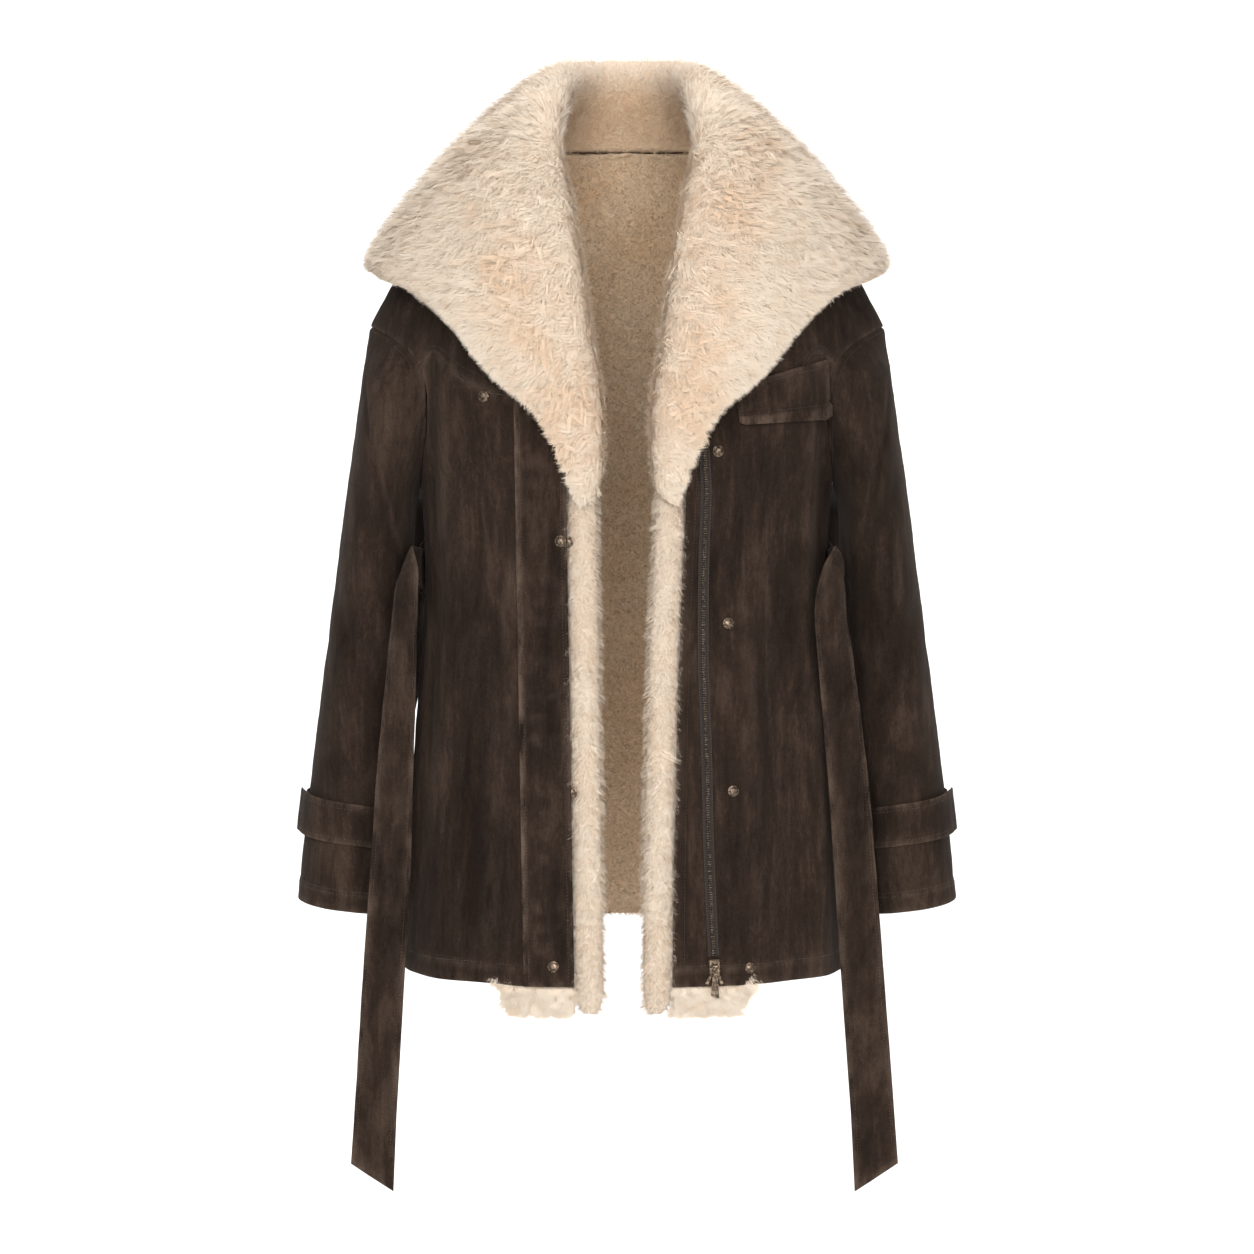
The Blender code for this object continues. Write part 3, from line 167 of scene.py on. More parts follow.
def grid_normals(points: Array, closed: bool = False, flip: bool = False) -> Array:
    """Unit normals of a grid of points.

    Args:
        points: rows by columns by 3.
        closed: whether the columns go round a tube.
        flip: whether to turn them over.

    Returns:
        One normal for each point.
    """
    wide, tall = across_grid(points, closed)
    return unit(np.cross(wide, tall)) * (-1 if flip else 1)


def border_distance(points: Array, closed: bool = False) -> Array:
    """Distance along the cloth from each point of a grid to its nearest border."""
    down = np.linalg.norm(np.diff(points, axis=0), axis=-1)
    from_top = np.concatenate([np.zeros((1, points.shape[1])), np.cumsum(down, axis=0)])
    nearest = np.minimum(from_top, from_top[-1:] - from_top)
    if closed:
        return nearest
    wide = np.linalg.norm(np.diff(points, axis=1), axis=-1)
    from_side = np.concatenate([np.zeros((points.shape[0], 1)), np.cumsum(wide, axis=1)], axis=1)
    return np.minimum(nearest, np.minimum(from_side, from_side[:, -1:] - from_side))


def ripple(points: Array, scale: float, seed: float) -> Array:
    """Soft uneven noise between about -1 and 1, made of waves in several directions.

    Args:
        points: places.
        scale: length of its largest waves.
        seed: number that shifts it.

    Returns:
        One value for each place.
    """
    total = np.zeros(points.shape[:-1])
    turns = np.random.default_rng(int(seed * 977) + 5)
    for octave in range(3):
        for _ in range(4):
            way = turns.normal(size=3)
            way *= 2 ** octave * 2 * math.pi / (scale * np.linalg.norm(way))
            total += np.sin(points @ way + turns.uniform(0, 6.28)) / 2 ** octave
    return total / 4.2


# ------------------------------------------------------------------ meshes


def make_mesh(name: str, points: Array, quads: Array, triangles: Array | None = None) -> bpy.types.Mesh:
    """Mesh from arrays.

    Args:
        name: the mesh's name.
        points: its places.
        quads: faces of four corners.
        triangles: faces of three corners.

    Returns:
        The mesh, shaded smooth.
    """
    triangles = np.zeros((0, 3), int) if triangles is None else triangles
    mesh = bpy.data.meshes.new(name)
    mesh.vertices.add(len(points))
    mesh.vertices.foreach_set("co", np.ascontiguousarray(points, np.float32).ravel())
    loops = np.concatenate([np.ravel(quads), np.ravel(triangles)]).astype(np.int32)
    mesh.loops.add(len(loops))
    mesh.loops.foreach_set("vertex_index", loops)
    starts = np.concatenate([np.arange(len(quads)) * 4,
                             len(quads) * 4 + np.arange(len(triangles)) * 3]).astype(np.int32)
    mesh.polygons.add(len(starts))
    mesh.polygons.foreach_set("loop_start", starts)
    mesh.update(calc_edges=True)
    mesh.shade_smooth()
    return mesh


def paint(mesh: bpy.types.Mesh, name: str, values: Array) -> None:
    """Keep one number for each point of a mesh, for its finish to read."""
    layer = mesh.attributes.new(name, "FLOAT", "POINT")
    layer.data.foreach_set("value", np.ascontiguousarray(values, np.float32).ravel())


def show(name: str, mesh: bpy.types.Mesh, finishes: Sequence[bpy.types.Material],
         nodes: Sequence[str] = (), body: str = COAT) -> bpy.types.Object:
    """Put a mesh in the scene as a piece of the coat.

    Args:
        name: the piece's name.
        mesh: its mesh.
        finishes: its materials.
        nodes: solids that it stands for.
        body: the body that it moves with.

    Returns:
        The piece.
    """
    for finish in finishes:
        mesh.materials.append(finish)
    piece = bpy.data.objects.new(name, mesh)
    bpy.context.scene.collection.objects.link(piece)
    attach(piece, body)
    if nodes:
        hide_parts(*nodes)
    LOG.info("%s: %d faces", name, len(mesh.polygons))
    return piece


def grid_faces(rows: int, columns: int, closed: bool, start: int = 0) -> Array:
    """Faces of a grid of points, as rows of four corners."""
    i, j = np.meshgrid(np.arange(rows - 1), np.arange(columns if closed else columns - 1),
                       indexing="ij")
    k = (j + 1) % columns
    corners = [i * columns + j, i * columns + k, (i + 1) * columns + k, (i + 1) * columns + j]
    return np.stack([c.ravel() for c in corners], axis=1) + start


@dataclass
class Cloth:
    """A sewn piece of cloth, as a wall under its outer points with rolled edges."""

    name: str
    outer: Array
    normals: Array
    thick: float = 0.002
    roll: float = 0.0025
    closed: bool = False
    # mask of paler suede: edge wear, plus painted highlights that callers add on raised folds and rims
    wear: Array | None = None
    pull_in: float = 0.00015

    def mesh(self, flip: bool, inner_finish: bool = False) -> bpy.types.Mesh:
        """Closed mesh of the wall.

        Args:
            flip: whether its grid runs the other way round.
            inner_finish: whether the inner skin takes the second material.

        Returns:
            The mesh, with its mask of wear and painted highlight painted on.
        """
        distance = border_distance(self.outer, self.closed)
        drop = np.maximum(1 - distance / self.roll, 0.0)
        drop = (1 - np.sqrt(np.maximum(1 - drop ** 2, 0.0))) * self.thick * 0.5
        outer = self.outer - self.normals * drop[..., None]
        inner = self.outer - self.normals * (self.thick - drop)[..., None]
        rows, columns = outer.shape[:2]
        half = rows * columns
        out = grid_faces(rows, columns, self.closed)
        low = grid_faces(rows, columns, self.closed, half)[:, ::-1]
        rims = []
        last = columns if self.closed else columns - 1
        for i in (0, rows - 1):
            j = np.arange(last)
            a, b = i * columns + j, i * columns + (j + 1) % columns
            rim = np.stack([a, b, half + b, half + a], axis=1)
            rims.append(rim if i else rim[:, ::-1])
        if not self.closed:
            for j in (0, columns - 1):
                i = np.arange(rows - 1)
                a, b = i * columns + j, (i + 1) * columns + j
                rim = np.stack([a, b, half + b, half + a], axis=1)
                rims.append(rim[:, ::-1] if j else rim)
        faces = np.concatenate([out, low, *rims])
        if flip:
            faces = faces[:, ::-1]
        mesh = make_mesh(self.name, np.concatenate([outer.reshape(-1, 3), inner.reshape(-1, 3)]),
                         faces)
        # edge wear by default; a given mask may also carry painted highlights
        wear = np.exp(-distance / 0.004) if self.wear is None else self.wear
        paint(mesh, "wear", np.concatenate([wear.ravel(), np.zeros(half)]))
        if inner_finish:
            marks = np.zeros(len(faces), np.int32)
            marks[len(out):len(out) + len(low)] = 1
            mesh.polygons.foreach_set("material_index", marks)
        return mesh


# ------------------------------------------------------------------ finishes


class Recipe:
    """A material being put together from nodes."""

    def __init__(self, name: str) -> None:
        """Start a material that holds only its shader and output."""
        self.material = bpy.data.materials.new(name)
        self.material.use_nodes = True
        self.tree = self.material.node_tree
        self.shader = self.tree.nodes["Principled BSDF"]

    def add(self, kind: str, **settings: object) -> bpy.types.Node:
        """Add a node and set its properties."""
        node = self.tree.nodes.new(kind)
        for key, value in settings.items():
            setattr(node, key, value)
        return node

    def link(self, source: bpy.types.NodeSocket, target: bpy.types.NodeSocket) -> None:
        """Join two sockets."""
        self.tree.links.new(source, target)

    def noise(self, scale: float, detail: float = 3.0, rough: float = 0.55,
              stretch: tuple = (1.0, 1.0, 1.0), warp: float = 0.0) -> bpy.types.NodeSocket:
        """Noise over the piece's own places.

        Args:
            scale: waves to a metre.
            detail: finer layers.
            rough: strength of the finer layers.
            stretch: how much finer it is along each axis.
            warp: how much it is distorted.

        Returns:
            The noise's value socket.
        """
        place = self.add("ShaderNodeTexCoord")
        mapping = self.add("ShaderNodeMapping")
        mapping.inputs["Scale"].default_value = stretch
        self.link(place.outputs["Object"], mapping.inputs["Vector"])
        node = self.add("ShaderNodeTexNoise")
        node.inputs["Scale"].default_value = scale
        node.inputs["Detail"].default_value = detail
        node.inputs["Roughness"].default_value = rough
        node.inputs["Distortion"].default_value = warp
        self.link(mapping.outputs["Vector"], node.inputs["Vector"])
        return node.outputs["Fac"]

    def painted(self, name: str) -> bpy.types.NodeSocket:
        """A number kept on the mesh."""
        return self.add("ShaderNodeAttribute", attribute_name=name).outputs["Fac"]

    def math(self, operation: str, a: object, b: object = 0.0) -> bpy.types.NodeSocket:
        """Sum, product or other result of two numbers or sockets."""
        node = self.add("ShaderNodeMath", operation=operation)
        for socket, value in zip(node.inputs, (a, b)):
            if isinstance(value, (int, float)):
                socket.default_value = value
            else:
                self.link(value, socket)
        return node.outputs[0]

    def ramp(self, source: bpy.types.NodeSocket, stops: Sequence[tuple]) -> bpy.types.NodeSocket:
        """Colours by value.

        Args:
            source: the value.
            stops: places and colours, rising.

        Returns:
            The colour socket.
        """
        node = self.add("ShaderNodeValToRGB")
        while len(node.color_ramp.elements) < len(stops):
            node.color_ramp.elements.new(0.5)
        for element, (place, color) in zip(node.color_ramp.elements, stops):
            element.position = place
            element.color = (*color, 1.0)
        self.link(source, node.inputs["Fac"])
        return node.outputs["Color"]

    def blend(self, share: object, a: object, b: object, way: str = "MIX") -> bpy.types.NodeSocket:
        """Colour between two colours or sockets."""
        node = self.add("ShaderNodeMix", data_type="RGBA", blend_type=way)
        for socket, value in ((node.inputs[0], share), (node.inputs[6], a), (node.inputs[7], b)):
            if isinstance(value, (int, float)):
                socket.default_value = value
            elif isinstance(value, tuple):
                socket.default_value = (*value, 1.0)
            else:
                self.link(value, socket)
        return node.outputs[2]

    def bump(self, height: bpy.types.NodeSocket, distance: float, strength: float = 1.0) -> None:
        """Raise the surface by a height, on top of what is already raised."""
        node = self.add("ShaderNodeBump")
        node.inputs["Strength"].default_value = strength
        node.inputs["Distance"].default_value = distance
        self.link(height, node.inputs["Height"])
        normal = self.shader.inputs["Normal"]
        if normal.links:
            self.link(normal.links[0].from_socket, node.inputs["Normal"])
        self.link(node.outputs["Normal"], normal)

    def set(self, **values: object) -> None:
        """Set the shader's own sockets, named with underscores for spaces."""
        for key, value in values.items():
            self.shader.inputs[key.replace("_", " ")].default_value = value


@dataclass(frozen=True)
class Suede:
    """Napped dark suede: cloudy nap, brushed streaks, and paler where it is worn at the edges and where a
    painted highlight lies on raised folds and rims.
    """

    name: str = "suede"
    deep: tuple = (0.0088, 0.0051, 0.0034)
    middle: tuple = (0.0200, 0.0122, 0.0083)
    pale: tuple = (0.0500, 0.0325, 0.0230)
    # pale colour for worn edges and for painted highlights on raised folds and rims
    worn: tuple = (0.115, 0.079, 0.058)
    sheen: float = 0.05

    def build(self) -> bpy.types.Material:
        """Put the suede's material together."""
        recipe = Recipe(self.name)
        clouds = recipe.noise(14.0, 5.0, 0.65, (1.0, 1.0, 0.40), 0.6)
        streaks = recipe.noise(95.0, 5.0, 0.65, (1.0, 1.0, 0.14), 0.3)
        nap = recipe.noise(330.0, 5.0, 0.7, (1.0, 1.0, 0.5))
        grain = recipe.noise(900.0, 3.0, 0.7)
        tone = recipe.math("ADD", recipe.math("MULTIPLY", clouds, 0.50),
                           recipe.math("MULTIPLY", streaks, 0.34))
        tone = recipe.math("ADD", tone, recipe.math("MULTIPLY", nap, 0.20))
        color = recipe.ramp(tone, ((0.40, self.deep), (0.53, self.middle), (0.68, self.pale)))
        scuffs = recipe.noise(60.0, 4.0, 0.7, (1.0, 1.0, 0.35))
        # paler where the mesh's mask is set: edge wear and painted highlights on raised folds, rims and hem
        # bands, broken up by scuffs
        wear = recipe.math("MULTIPLY", recipe.painted("wear"),
                           recipe.ramp(scuffs, ((0.38, (0, 0, 0)), (0.62, (1, 1, 1)))))
        color = recipe.blend(recipe.math("MULTIPLY", wear, 0.65), color, self.worn)
        specks = recipe.ramp(grain, ((0.35, (0.72, 0.72, 0.72)), (0.68, (1.28, 1.28, 1.28))))
        color = recipe.blend(1.0, color, specks, "MULTIPLY")
        recipe.link(color, recipe.shader.inputs["Base Color"])
        recipe.bump(grain, 0.00035)
        recipe.bump(nap, 0.0007, 0.7)
        recipe.set(Roughness=0.95, Specular_IOR_Level=0.10, Sheen_Weight=self.sheen,
                   Sheen_Roughness=0.45, Sheen_Tint=(0.62, 0.50, 0.43, 1.0))
        return recipe.material


@dataclass(frozen=True)
class Pelt:
    """Fur: darker at the roots, pale at the tips, each lock a little different, with painted shade where its
    shade mask is set.
    """

    name: str
    root: tuple
    middle: tuple
    tip: tuple
    blush: tuple
    # darker, warmer tint multiplied in where the shade mask is set: painted shade
    worn: tuple = (0.74, 0.62, 0.50)
    curls: float = 190.0
    sheen: float = 0.25

    def strands(self) -> bpy.types.Material:
        """Material of the strands."""
        recipe = Recipe(self.name)
        color = recipe.ramp(recipe.painted("tip"),
                            ((0.0, self.root), (0.45, self.middle), (0.95, self.tip)))
        tint = recipe.ramp(recipe.painted("lock"), ((0.0, self.blush), (0.45, (1, 1, 1))))
        color = recipe.blend(0.75, color, tint, "MULTIPLY")
        warm = recipe.ramp(recipe.painted("curly"), ((0.0, (1, 1, 1)), (0.9, self.blush)))
        color = recipe.blend(0.9, color, warm, "MULTIPLY")
        # painted shade: darker, warmer where the strand's shade mask is set
        color = recipe.blend(recipe.painted("shade"), color, self.worn, "MULTIPLY")
        recipe.link(color, recipe.shader.inputs["Base Color"])
        recipe.set(Roughness=0.75, Specular_IOR_Level=0.2, Sheen_Weight=self.sheen,
                   Sheen_Roughness=0.5, Sheen_Tint=(1.0, 0.95, 0.88, 1.0))
        return recipe.material

    def underfur(self) -> bpy.types.Material:
        """Material of the dense fur that the strands come out of."""
        recipe = Recipe(self.name + "_under")
        curls = recipe.noise(self.curls, 5.0, 0.65, warp=1.4)
        fine = recipe.noise(self.curls * 5, 3.0, 0.7, warp=0.6)
        color = recipe.ramp(curls, ((0.32, self.root), (0.52, self.middle), (0.72, self.tip)))
        patches = recipe.noise(16.0, 3.0, 0.6)
        warm = recipe.ramp(patches, ((0.36, self.blush), (0.60, (1, 1, 1))))
        color = recipe.blend(0.55, color, warm, "MULTIPLY")
        # painted shade: darker, warmer where the mesh's shade mask is set
        color = recipe.blend(recipe.painted("shade"), color, self.worn, "MULTIPLY")
        recipe.link(color, recipe.shader.inputs["Base Color"])
        recipe.bump(curls, 0.004)
        recipe.bump(fine, 0.0012, 0.8)
        recipe.set(Roughness=0.95, Specular_IOR_Level=0.1, Sheen_Weight=self.sheen,
                   Sheen_Roughness=0.6, Sheen_Tint=(1.0, 0.95, 0.88, 1.0))
        return recipe.material


@dataclass(frozen=True)
class Bronze:
    """Dark antique bronze, rubbed brighter here and there."""

    name: str = "antique_bronze"
    dark: tuple = (0.045, 0.033, 0.025)
    bright: tuple = (0.26, 0.19, 0.135)

    def build(self) -> bpy.types.Material:
        """Put the metal's material together."""
        recipe = Recipe(self.name)
        rub = recipe.noise(420.0, 4.0, 0.6)
        recipe.link(recipe.ramp(rub, ((0.42, self.dark), (0.68, self.bright))),
                    recipe.shader.inputs["Base Color"])
        rough = recipe.ramp(rub, ((0.4, (0.52, 0.52, 0.52)), (0.7, (0.30, 0.30, 0.30))))
        recipe.link(rough, recipe.shader.inputs["Roughness"])
        recipe.bump(rub, 0.00012, 0.6)
        recipe.set(Metallic=1.0)
        return recipe.material


@dataclass(frozen=True)
class Weave:
    """Closely woven tape or thread."""

    name: str
    dark: tuple
    pale: tuple
    pitch: float = 1500.0

    def build(self) -> bpy.types.Material:
        """Put the woven material together."""
        recipe = Recipe(self.name)
        place = recipe.add("ShaderNodeTexCoord")
        wave = recipe.add("ShaderNodeTexWave", bands_direction="Z")
        wave.inputs["Scale"].default_value = self.pitch / 6.28
        wave.inputs["Distortion"].default_value = 1.5
        recipe.link(place.outputs["Object"], wave.inputs["Vector"])
        recipe.link(recipe.ramp(wave.outputs["Fac"], ((0.2, self.dark), (0.8, self.pale))),
                    recipe.shader.inputs["Base Color"])
        recipe.bump(wave.outputs["Fac"], 0.0002)
        recipe.set(Roughness=0.9, Specular_IOR_Level=0.2, Sheen_Weight=0.2)
        return recipe.material


@dataclass
class Wardrobe:
    """Every finish of the coat, made once."""

    suede: bpy.types.Material = field(default_factory=lambda: Suede().build())
    bronze: bpy.types.Material = field(default_factory=lambda: Bronze().build())
    tape: bpy.types.Material = field(
        default_factory=lambda: Weave("zip_tape", (0.012, 0.009, 0.008), (0.035, 0.026, 0.021)).build())
    thread: bpy.types.Material = field(
        default_factory=lambda: Weave("thread", (0.018, 0.013, 0.010), (0.050, 0.036, 0.028),
                                      3200.0).build())
    cream: Pelt = Pelt("cream_fur", (0.62, 0.49, 0.37), (0.75, 0.635, 0.51), (0.82, 0.73, 0.61),
                       (0.95, 0.85, 0.76))
    tan: Pelt = Pelt("tan_fur", (0.38, 0.25, 0.15), (0.68, 0.50, 0.33), (0.86, 0.66, 0.46),
                     (0.90, 0.80, 0.68), curls=230.0)

    def __post_init__(self) -> None:
        """Make the fur materials."""
        self.cream_strands = self.cream.strands()
        self.cream_under = self.cream.underfur()
        self.tan_strands = self.tan.strands()
        self.tan_under = self.tan.underfur()


# ------------------------------------------------------------------ sewing


@dataclass
class Sewing:
    """All the visible stitches of the coat, kept together as one piece."""

    length: float = 0.0024
    pitch: float = 0.0034
    width: float = 0.00055
    points: list = field(default_factory=list)
    faces: list = field(default_factory=list)
    count: int = 0

    def row(self, path: Array, normals: Array, lift: float = 0.0002) -> None:
        """Sew a row of stitches.

        Args:
            path: points along the row.
            normals: direction off the cloth at each.
            lift: how far the thread's middle lies off the cloth.
        """
        steps = np.linalg.norm(np.diff(path, axis=0), axis=1)
        run = np.concatenate([[0.0], np.cumsum(steps)])
        centres = np.arange(self.pitch / 2, run[-1] - self.pitch / 2, self.pitch)
        if not len(centres):
            return
        place = np.stack([np.interp(centres, run, path[:, k]) for k in range(3)], axis=1)
        out = unit(np.stack([np.interp(centres, run, normals[:, k]) for k in range(3)], axis=1))
        ahead = np.stack([np.interp(centres + 1e-4, run, path[:, k]) for k in range(3)], axis=1)
        self.stitches(place + out * lift, unit(ahead - place), out)

    def stitches(self, place: Array, along: Array, out: Array) -> None:
        """Add stitches at given places, lying along given directions.

        Args:
            place: their middles.
            along: the way each lies.
            out: the way off the cloth at each.
        """
        wide = unit(np.cross(along, out))
        out = unit(np.cross(wide, along))
        half, thick = self.length / 2, self.width / 2
        ring = [place + wide * thick, place + out * thick, place - wide * thick,
                place - out * thick]
        ends = [place + along * half * way - out * self.width * 0.4 for way in (-1, 1)]
        self.points.append(np.stack(ring + ends, axis=1).reshape(-1, 3))
        sides = np.array([[k, (k + 1) % 4, 4] for k in range(4)]
                         + [[(k + 1) % 4, k, 5] for k in range(4)])
        start = self.count + np.arange(len(place)) * 6
        self.faces.append((sides[None] + start[:, None, None]).reshape(-1, 3))
        self.count += len(place) * 6

    def build(self, wardrobe: Wardrobe) -> None:
        """Make the one piece that holds every stitch."""
        mesh = make_mesh("stitching", np.concatenate(self.points), np.zeros((0, 4), int),
                         np.concatenate(self.faces))
        show("stitching", mesh, [wardrobe.thread])


# ------------------------------------------------------------------ fur


@dataclass
class Hide:
    """Skin that fur grows from, as grids."""

    places: Array
    normals: Array
    flow: Array
    depth: Array
    weight: Array
    curls: Array
    shade: Array

    def scatter(self, count: int, rng: np.random.Generator) -> dict[str, Array]:
        """Choose roots, evenly by area and weight.

        Args:
            count: number of roots.
            rng: source of chance.

        Returns:
            Places, normals, flow and depth of the roots.
        """
        a = self.places[1:, :-1] - self.places[:-1, :-1]
        b = self.places[:-1, 1:] - self.places[:-1, :-1]
        area = np.linalg.norm(np.cross(a, b), axis=-1) * self.weight[:-1, :-1]
        chance = np.cumsum(area.ravel())
        cell = np.searchsorted(chance, rng.uniform(0, chance[-1], count))
        i, j = np.unravel_index(np.minimum(cell, area.size - 1), area.shape)
        u, v = rng.uniform(0, 1, count), rng.uniform(0, 1, count)
        found = {}
        for name in ("places", "normals", "flow", "depth", "curls", "shade"):
            grid = getattr(self, name)
            grid = grid[..., None] if grid.ndim == 2 else grid
            value = ((grid[i, j] * (1 - v)[:, None] + grid[i, j + 1] * v[:, None])
                     * (1 - u)[:, None]
                     + (grid[i + 1, j] * (1 - v)[:, None] + grid[i + 1, j + 1] * v[:, None])
                     * u[:, None])
            found[name] = value
        found["normals"] = unit(found["normals"])
        found["flow"] = unit(found["flow"] - found["normals"]
                             * (found["flow"] * found["normals"]).sum(1, keepdims=True))
        return found


@dataclass(frozen=True)
class Fleece:
    """How the fur of one kind grows; a pair of numbers is for loose and for curly places."""

    stand: float = 0.50
    sweep: float = 0.60
    sway: float = 0.25
    lock: float = 0.0060
    gather: tuple = (0.25, 0.85)
    curl: tuple = (0.08, 0.34)
    stray: float = 0.30
    width: float = 0.00048
    uneven: float = 0.14
    lean: float = 0.25
    times: tuple = (0.0, 0.5, 1.0)
    swell: tuple = (0.9, 1.0, 0.0)

    def grow(self, name: str, hide: Hide, count: int, seed: int) -> bpy.types.Mesh:
        """Strands of fur gathered into locks.

        Args:
            name: the mesh's name.
            hide: the skin.
            count: number of strands.
            seed: seed of chance.

        Returns:
            The mesh of all strands.
        """
        rng = np.random.default_rng(seed)
        area = (np.linalg.norm(np.cross(hide.places[1:, :-1] - hide.places[:-1, :-1],
                                        hide.places[:-1, 1:] - hide.places[:-1, :-1]), axis=-1)
                * (hide.weight[:-1, :-1] > 0)).sum()
        number = max(int(area / self.lock ** 2), 8)
        locks, roots = hide.scatter(number, rng), hide.scatter(count, rng)
        tree = kdtree.KDTree(number)
        for index, place in enumerate(locks["places"]):
            tree.insert(place, index)
        tree.balance()
        owner = np.array([tree.find(place)[1] for place in roots["places"]])
        lock_sway = rng.normal(0, self.sway, number)
        phase = rng.uniform(0, 2 * math.pi, number)[owner]
        own_sway = lock_sway[owner] + rng.normal(0, self.sway * 0.7, count)
        own_size = (1 + rng.normal(0, self.uneven, number))[owner] * (1 + rng.normal(0, 0.14, count))
        own_size = np.clip(own_size, 0.5, 1.12)
        curly = roots["curls"][:, 0]
        shade = roots["shade"][:, 0]
        gather = np.where(rng.uniform(0, 1, count) < self.stray, 0.1, mix(*self.gather, curly))
        curl = mix(*self.curl, curly)
        times = np.array(self.times)
        free = self.paths(roots, own_sway, own_size, phase, curl)
        axis = self.paths({key: value[owner] for key, value in locks.items()}, lock_sway[owner],
                          own_size, phase, curl)
        path = mix(free, axis, (gather[:, None] * smooth(times * 1.1)[None])[..., None])
        along = unit(np.gradient(path, axis=1))
        lean = roots["normals"] + rng.normal(0, self.lean, (count, 3))
        wide = unit(np.cross(along, lean[:, None, :]))
        turned = (np.cross(wide, along) * roots["normals"][:, None]).sum((1, 2)) < 0
        wide = np.where(turned[:, None, None], -wide, wide)
        size = rng.uniform(0.7, 1.35, count)[:, None] * np.array(self.swell) * self.width / 2
        left, right = path + wide * size[..., None], path - wide * size[..., None]
        steps = len(times) - 1
        rungs = [side[:, k] for k in range(steps) for side in (left, right)]
        points = np.stack([*rungs, path[:, -1]], axis=1)
        each = 2 * steps + 1
        base = (np.arange(count) * each)[:, None]
        quads = np.array([[2 * k + 1, 2 * k, 2 * k + 2, 2 * k + 3] for k in range(steps - 1)], int)
        quads = (base[:, None] + quads.reshape(1, -1, 4)).reshape(-1, 4)
        mesh = make_mesh(name, points.reshape(-1, 3), quads,
                         base + np.array([[each - 2, each - 3, each - 1]]))
        facing = unit(roots["normals"][:, None] * 0.9 + np.cross(wide, along) * 0.3 + along * 0.2)
        order = [k // 2 for k in range(each)]
        mesh.normals_split_custom_set_from_vertices(facing[:, order].reshape(-1, 3).tolist())
        paint(mesh, "tip", np.broadcast_to(times[order], (count, each)))
        tone = np.clip(rng.uniform(0, 1, number)[owner] + rng.normal(0, 0.1, count), 0, 1)
        paint(mesh, "lock", np.repeat(tone, each))
        paint(mesh, "curly", np.repeat(curly, each))
        paint(mesh, "shade", np.repeat(shade, each))
        return mesh

    def paths(self, roots: dict[str, Array], sway: Array, size: Array, phase: Array,
              curl: Array) -> Array:
        """Course of each strand.

        Args:
            roots: places, normals, flow and depths.
            sway: lean to the side.
            size: length as a share of the fur's depth.
            phase: where each curl starts.
            curl: how wide it winds.

        Returns:
            Points, strands by times by 3.
        """
        normal, flow = roots["normals"][:, None], roots["flow"][:, None]
        side = np.cross(normal, flow)
        long = (roots["depth"][:, 0] * size)[:, None, None]
        t = np.array(self.times)[None, :, None]
        twist = 2 * math.pi * t * 0.8 + phase[:, None, None]
        winding = t * (side * np.sin(twist) + normal * np.cos(twist) * 0.6)
        return (roots["places"][:, None]
                + normal * long * self.stand * (1.55 * t - 0.55 * t * t)
                + flow * long * self.sweep * t ** 1.6
                + side * long * sway[:, None, None] * t ** 1.4
                + winding * long * curl[:, None, None])


# ------------------------------------------------------------------ the body's form


